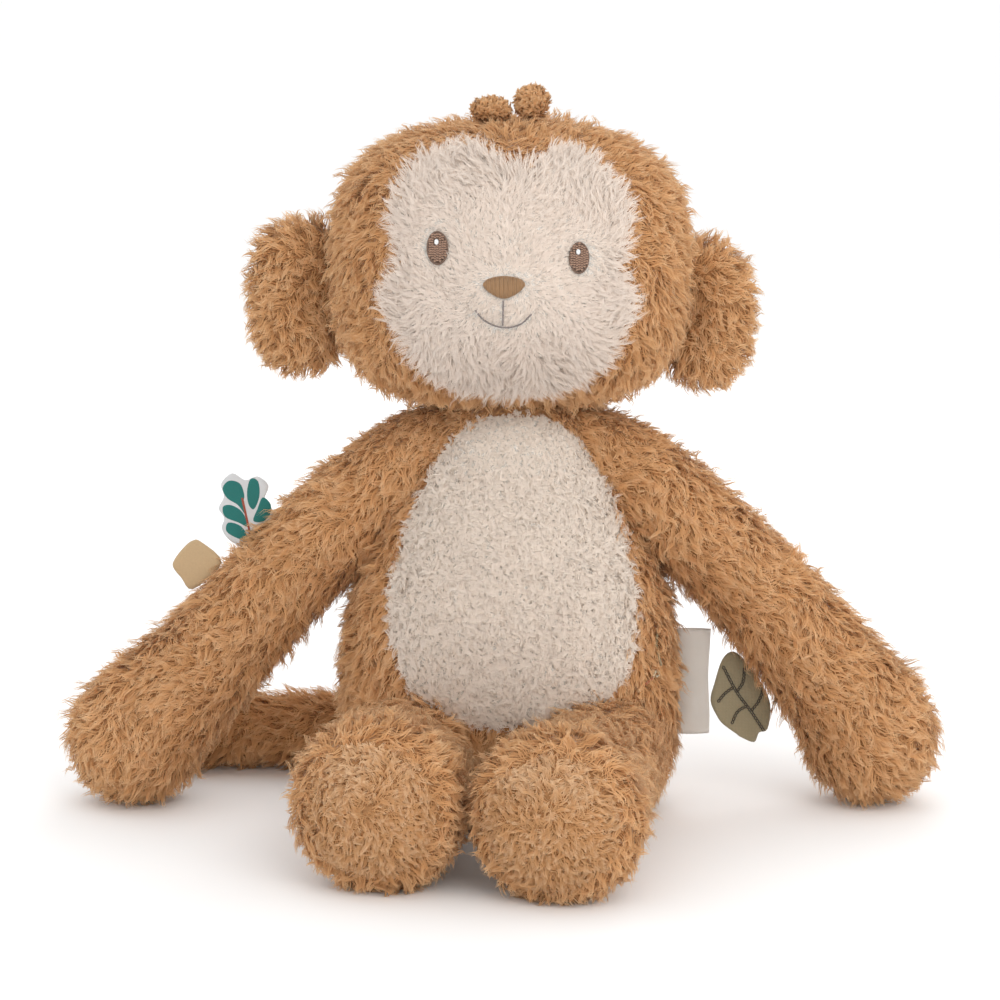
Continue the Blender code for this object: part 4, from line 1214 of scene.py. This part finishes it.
class MONKEY_OT_tail(MonkeyOperator, bpy.types.Operator):
    """Tail: a long padded tube that curves out behind along the floor"""
    bl_idname = "monkey.tail"
    bl_label = "Tail"

    def execute(self, context):
        skin = Skin(tube(TAIL, INSET, np.array([0.0, 0.0, 1.0])))
        self.backing("tail", skin, "tail", 0.65, "tail_skin", "tail_filling")
        roots, normals, along = skin.scatter(self.toy.fawn.spacing, 81, lambda points: points[:, 2] > PILE_REST)
        # tone=-2.2 gives the tail's pile its darkest tone: painted shade for the shadow that the tail lies in.
        self.cover("tail_pile", "fawn", roots, normals, along + [0, 0, -0.3], 82, "tail", swirl=0.5, tone=-2.2)
        return {"FINISHED"}


def tag_mesh(name, outline, depth, thickness, bend):
    """A cut piece of cloth in x and z with a rounded edge.  bend gives the depth at each spot, in millimetres."""
    centre, around = outline.mean(0), len(outline)
    shares, puffs = (1.0, 0.97, 0.85, 0.62, 0.35), (0.35, 0.85, 1.0, 1.0, 1.0)
    flat = np.vstack([*(centre + (outline - centre) * share for share in shares), centre])
    puff = np.append(np.repeat(puffs, around), 1.0)
    total = len(flat)
    points, faces = [], []
    for base, sign in ((0, -1), (total, 1)):
        y = depth + bend(flat) + sign * thickness * 0.5 * puff
        points.append(np.stack([flat[:, 0], y, flat[:, 1]], -1))
        first = base + (len(shares) - 1) * around
        middle = [(first + i, first + (i + 1) % around, base + total - 1) for i in range(around)]
        faces += [face[::-sign] for face in ring_faces(len(shares), around, base) + middle]
    faces += [(i, total + i, total + (i + 1) % around, (i + 1) % around) for i in range(around)]
    return smooth_mesh(name, np.vstack(points) * MM, faces)


class MONKEY_OT_tags(MonkeyOperator, bpy.types.Operator):
    """Tags: printed leaf, ribbon tab, sage leaf with stitched veins, and a plain woven label"""
    bl_idname = "monkey.tags"
    bl_label = "Tags"

    def execute(self, context):
        self.printed_leaf()
        self.ribbon()
        self.sage_leaf()
        self.label()
        return {"FINISHED"}

    def cut(self, name, outline, depth, thickness, bend, finish, slot):
        return put(tag_mesh(name, outline, depth, thickness, bend), finishes()[finish])

    def sheet(self, cloth, node, outline, arm):
        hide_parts(node)

    def printed_leaf(self):
        node = "printed_leaf_tag"
        outline = smooth_line(in_box(node, LEAF_TAG), 4, True)
        middle = outline.mean(0)

        def bend(spots):
            return 1.2 * np.sin((spots[:, 0] - middle[0]) / 9.0) + 0.03 * (spots[:, 1] - middle[1])

        pieces = [self.cut("printed_leaf_cloth", outline, 5.0, 1.3, bend, "leaf_cloth", "printed_cloth")]
        for number, pod in enumerate(LEAF_PODS):
            spots = smooth_line(in_box(node, pod), 4, True)
            pieces.append(self.cut(
                f"printed_leaf_pod_{number + 1}", spots, 4.35, 0.2, bend, "leaf_print", "printed_cloth"))
        stem = smooth_line(in_box(node, LEAF_STEM), 5)
        edge = np.vstack([stem + (0.45, 0), stem[::-1] - (0.45, 0)])
        pieces.append(self.cut("printed_leaf_stem", edge, 4.25, 0.2, bend, "stem_print", "printed_cloth"))
        self.sheet(pieces[0], node, outline, "left_arm_skin")
        hold(pieces, "printed_leaf")

    def ribbon(self):
        outline = smooth_line(in_box("ribbon_tab", RIBBON_TAB), 4, True)
        middle = outline.mean(0)

        def bend(spots):
            return 0.8 * np.cos((spots[:, 0] - middle[0]) / 7.0) - 0.4

        cloth = self.cut("ribbon_tab_cloth", outline, 5.0, 2.0, bend, "ribbon", "beige_felt")
        self.sheet(cloth, "ribbon_tab", outline, "left_arm_skin")
        hold([cloth], "ribbon")

    def sage_leaf(self):
        """A felt leaf, with its veins in chain stitch: two arched threads to each link."""
        node, placed = "sage_leaf_tag", (1.15, (0.02, -0.08))
        outline = smooth_line(in_box(node, SAGE_LEAF, *placed), 4, True)
        middle = outline.mean(0)

        def bend(spots):
            return 1.6 * np.sin((spots[:, 0] - middle[0]) / 8.0) + 0.8 * np.cos((spots[:, 1] - middle[1]) / 9.0)

        cloth = self.cut("sage_leaf_cloth", outline, 8.0, 1.8, bend, "sage", "sage_cloth")
        veins = []
        for vein in SAGE_VEINS:
            for spot in stitch_spots(smooth_line(in_box(node, vein, *placed), 10), 1.5, 0.0, 1.75, 0.8, 7):
                sideways = unit(spot[-1] - spot[0])[::-1] * (-1, 1)
                for sign in (-1, 1):
                    link = spot + sign * 0.5 * arch(7)[:, None] ** 0.7 * sideways
                    y = 8.0 + bend(link) - 1.05 - 0.25 * arch(7)
                    veins.append(np.stack([link[:, 0], y, link[:, 1]], -1))
        self.sew("sage_leaf_veins", veins, 0.2, "vein", "sage_thread", "sage_leaf")
        self.sheet(cloth, node, outline, "right_arm_skin")
        hold([cloth], "sage_leaf")

    def label(self):
        """A strip folded at its outer edge, both ends caught in the body's side seam."""
        low, high = (np.array(corner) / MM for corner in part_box("woven_label"))
        reach = high[0] - low[0]
        section = []
        for share in np.linspace(0, 1, 10):
            section.append((low[0] - 3.0 + (reach + 2.0) * share, -1.5 * math.sin(share * math.pi) - 0.55))
        for turn in np.linspace(-math.pi / 2, math.pi / 2, 6)[1:-1]:
            section.append((high[0] - 1.0 + 0.75 * math.cos(turn), 0.6 * math.sin(turn)))
        section = np.array(section + [(x, -y) for x, y in section[9::-1]])
        tangents = unit(np.gradient(section, axis=0))
        sideways = np.stack([-tangents[:, 1], tangents[:, 0]], -1) * 0.22
        loop = np.vstack([section + sideways, (section - sideways)[::-1]])
        around = len(loop)
        heights = np.linspace(low[2] + 0.4, high[2] - 0.4, 26)
        points = []
        for height in heights:
            lean = 0.9 * math.sin((height - heights[0]) / 17.0)
            points += [(x + 0.35 * math.cos(height / 6.0), y + lean, height) for x, y in loop]
        faces = ring_faces(len(heights), around)
        for base, turn in ((0, -1), (len(points) - around, 1)):
            for i in range(around // 2 - 1):
                faces.append((base + i, base + i + 1, base + around - 2 - i, base + around - 1 - i)[::turn])
        tape = put(smooth_mesh("woven_label_tape", np.array(points) * MM, faces), finishes()["label"])
        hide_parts("woven_label")
        hold([tape], "label")


class MONKEY_OT_twig(MonkeyOperator, bpy.types.Operator):
    """Twig: a few embroidered stitches half hidden in the body's pile"""
    bl_idname = "monkey.twig"
    bl_label = "Twig"

    def execute(self, context):
        for name, (thread, line) in TWIG.items():
            stitches = []
            for spot in stitch_spots(smooth_line(in_box(name, line), 8), 1.3, 0.0, 1.6, 0.3, 5):
                y = self.front(spot) - 3.6 - 0.5 * arch(5)
                stitches.append(np.stack([spot[:, 0], y, spot[:, 1]], -1))
            self.sew(f"{name}_stitches", stitches, 0.5, thread, thread, "torso", name)
        return {"FINISHED"}

    def front(self, spots):
        """Depth of the body's backing at each spot, in millimetres."""
        width, depth = body_radii(spots[:, 1], INSET)
        return -depth * np.sqrt(np.clip(1 - (spots[:, 0] / width) ** 2, 0.02, 1))


class MONKEY_OT_stage(MonkeyOperator, bpy.types.Operator):
    """Stage: pale floor, soft studio light and camera"""
    bl_idname = "monkey.stage"
    bl_label = "Stage"

    def execute(self, context):
        stage, scene = self.toy.stage, context.scene
        floor = bpy.data.meshes.new("studio_floor")
        floor.from_pydata([(-40, -40, 0), (40, -40, 0), (40, 40, 0), (-40, 40, 0)], [], [(0, 1, 2, 3)])
        paper = Finish("studio_paper", Roughness=0.9, Specular_IOR_Level=0.1)
        tint = paper.mix(paper.noise(9.0, 3.0), shade(stage.floor, 0.985), shade(stage.floor, 1.0))
        put(floor, paper.surface(Base_Color=tint))
        scene.world = bpy.data.worlds.new("studio_air")
        scene.world.use_nodes = True
        air = scene.world.node_tree.nodes["Background"].inputs
        air["Color"].default_value, air["Strength"].default_value = (1.0, 1.0, 1.0, 1.0), 1.05
        for name, (place, size, power, light) in LAMPS.items():
            lamp = bpy.data.lights.new(name, "AREA")
            lamp.shape, lamp.size, lamp.energy, lamp.color = "SQUARE", size, power, light
            self.aim(lamp, np.array(place), np.array(LAMP_TARGET))
        lens = bpy.data.cameras.new("portrait_camera")
        lens.lens, lens.sensor_width, lens.clip_end = stage.lens, 36.0, 100.0
        away = np.array([0.0, -math.cos(stage.height_angle), math.sin(stage.height_angle)])
        target = np.array(CAMERA_TARGET)
        scene.camera = self.aim(lens, target + away * stage.distance, target)
        scene.view_settings.view_transform = "Standard"
        return {"FINISHED"}

    def aim(self, data, place, target):
        """A lamp or camera as an object that looks from a place at a target."""
        thing = bpy.data.objects.new(data.name, data)
        bpy.context.scene.collection.objects.link(thing)
        back = unit(place - target)
        right = unit(np.cross([0.0, 0.0, 1.0], back))
        up = np.cross(back, right)
        thing.matrix_world = Matrix([[*row] for row in np.stack([right, up, back, place], -1)] + [[0, 0, 0, 1]])
        return thing


class MonkeySettings(bpy.types.PropertyGroup):
    """Everything that a maker would change."""
    fawn: PointerProperty(type=FawnPileSettings, name="Fawn pile")
    sole: PointerProperty(type=SolePileSettings, name="Sole pile")
    face: PointerProperty(type=FacePileSettings, name="Face pile")
    belly: PointerProperty(type=BellyPileSettings, name="Belly pile")
    threads: PointerProperty(type=ThreadSettings, name="Threads and cloths")
    stage: PointerProperty(type=StageSettings, name="Stage")


MAKERS = (
    MONKEY_OT_stage, MONKEY_OT_head, MONKEY_OT_embroidery, MONKEY_OT_ears, MONKEY_OT_hair_loops, MONKEY_OT_body,
    MONKEY_OT_arms, MONKEY_OT_legs, MONKEY_OT_tail, MONKEY_OT_tags, MONKEY_OT_twig,
)


class MONKEY_PT_panel(bpy.types.Panel):
    """Panel that lists the makers and their settings"""
    bl_idname = "MONKEY_PT_panel"
    bl_label = "Plush Monkey"
    bl_space_type = "VIEW_3D"
    bl_region_type = "UI"
    bl_category = "Monkey"

    def draw(self, context):
        for maker in MAKERS:
            self.layout.operator(maker.bl_idname)
        toy = context.scene.plush_monkey
        for name in MonkeySettings.__annotations__:
            box = self.layout.box()
            box.label(text=toy.bl_rna.properties[name].name)
            group = getattr(toy, name)
            for key in group.__annotations__:
                box.prop(group, key)


CLASSES = (
    FawnPileSettings, SolePileSettings, FacePileSettings, BellyPileSettings, ThreadSettings, StageSettings,
    MonkeySettings, *MAKERS, MONKEY_PT_panel,
)


def register():
    for kind in CLASSES:
        bpy.utils.register_class(kind)
    bpy.types.Scene.plush_monkey = PointerProperty(type=MonkeySettings)


def unregister():
    del bpy.types.Scene.plush_monkey
    for kind in reversed(CLASSES):
        bpy.utils.unregister_class(kind)


def main():
    register()
    for maker in MAKERS:
        group, name = maker.bl_idname.split(".")
        getattr(getattr(bpy.ops, group), name)()


if __name__ == "__main__":
    main()
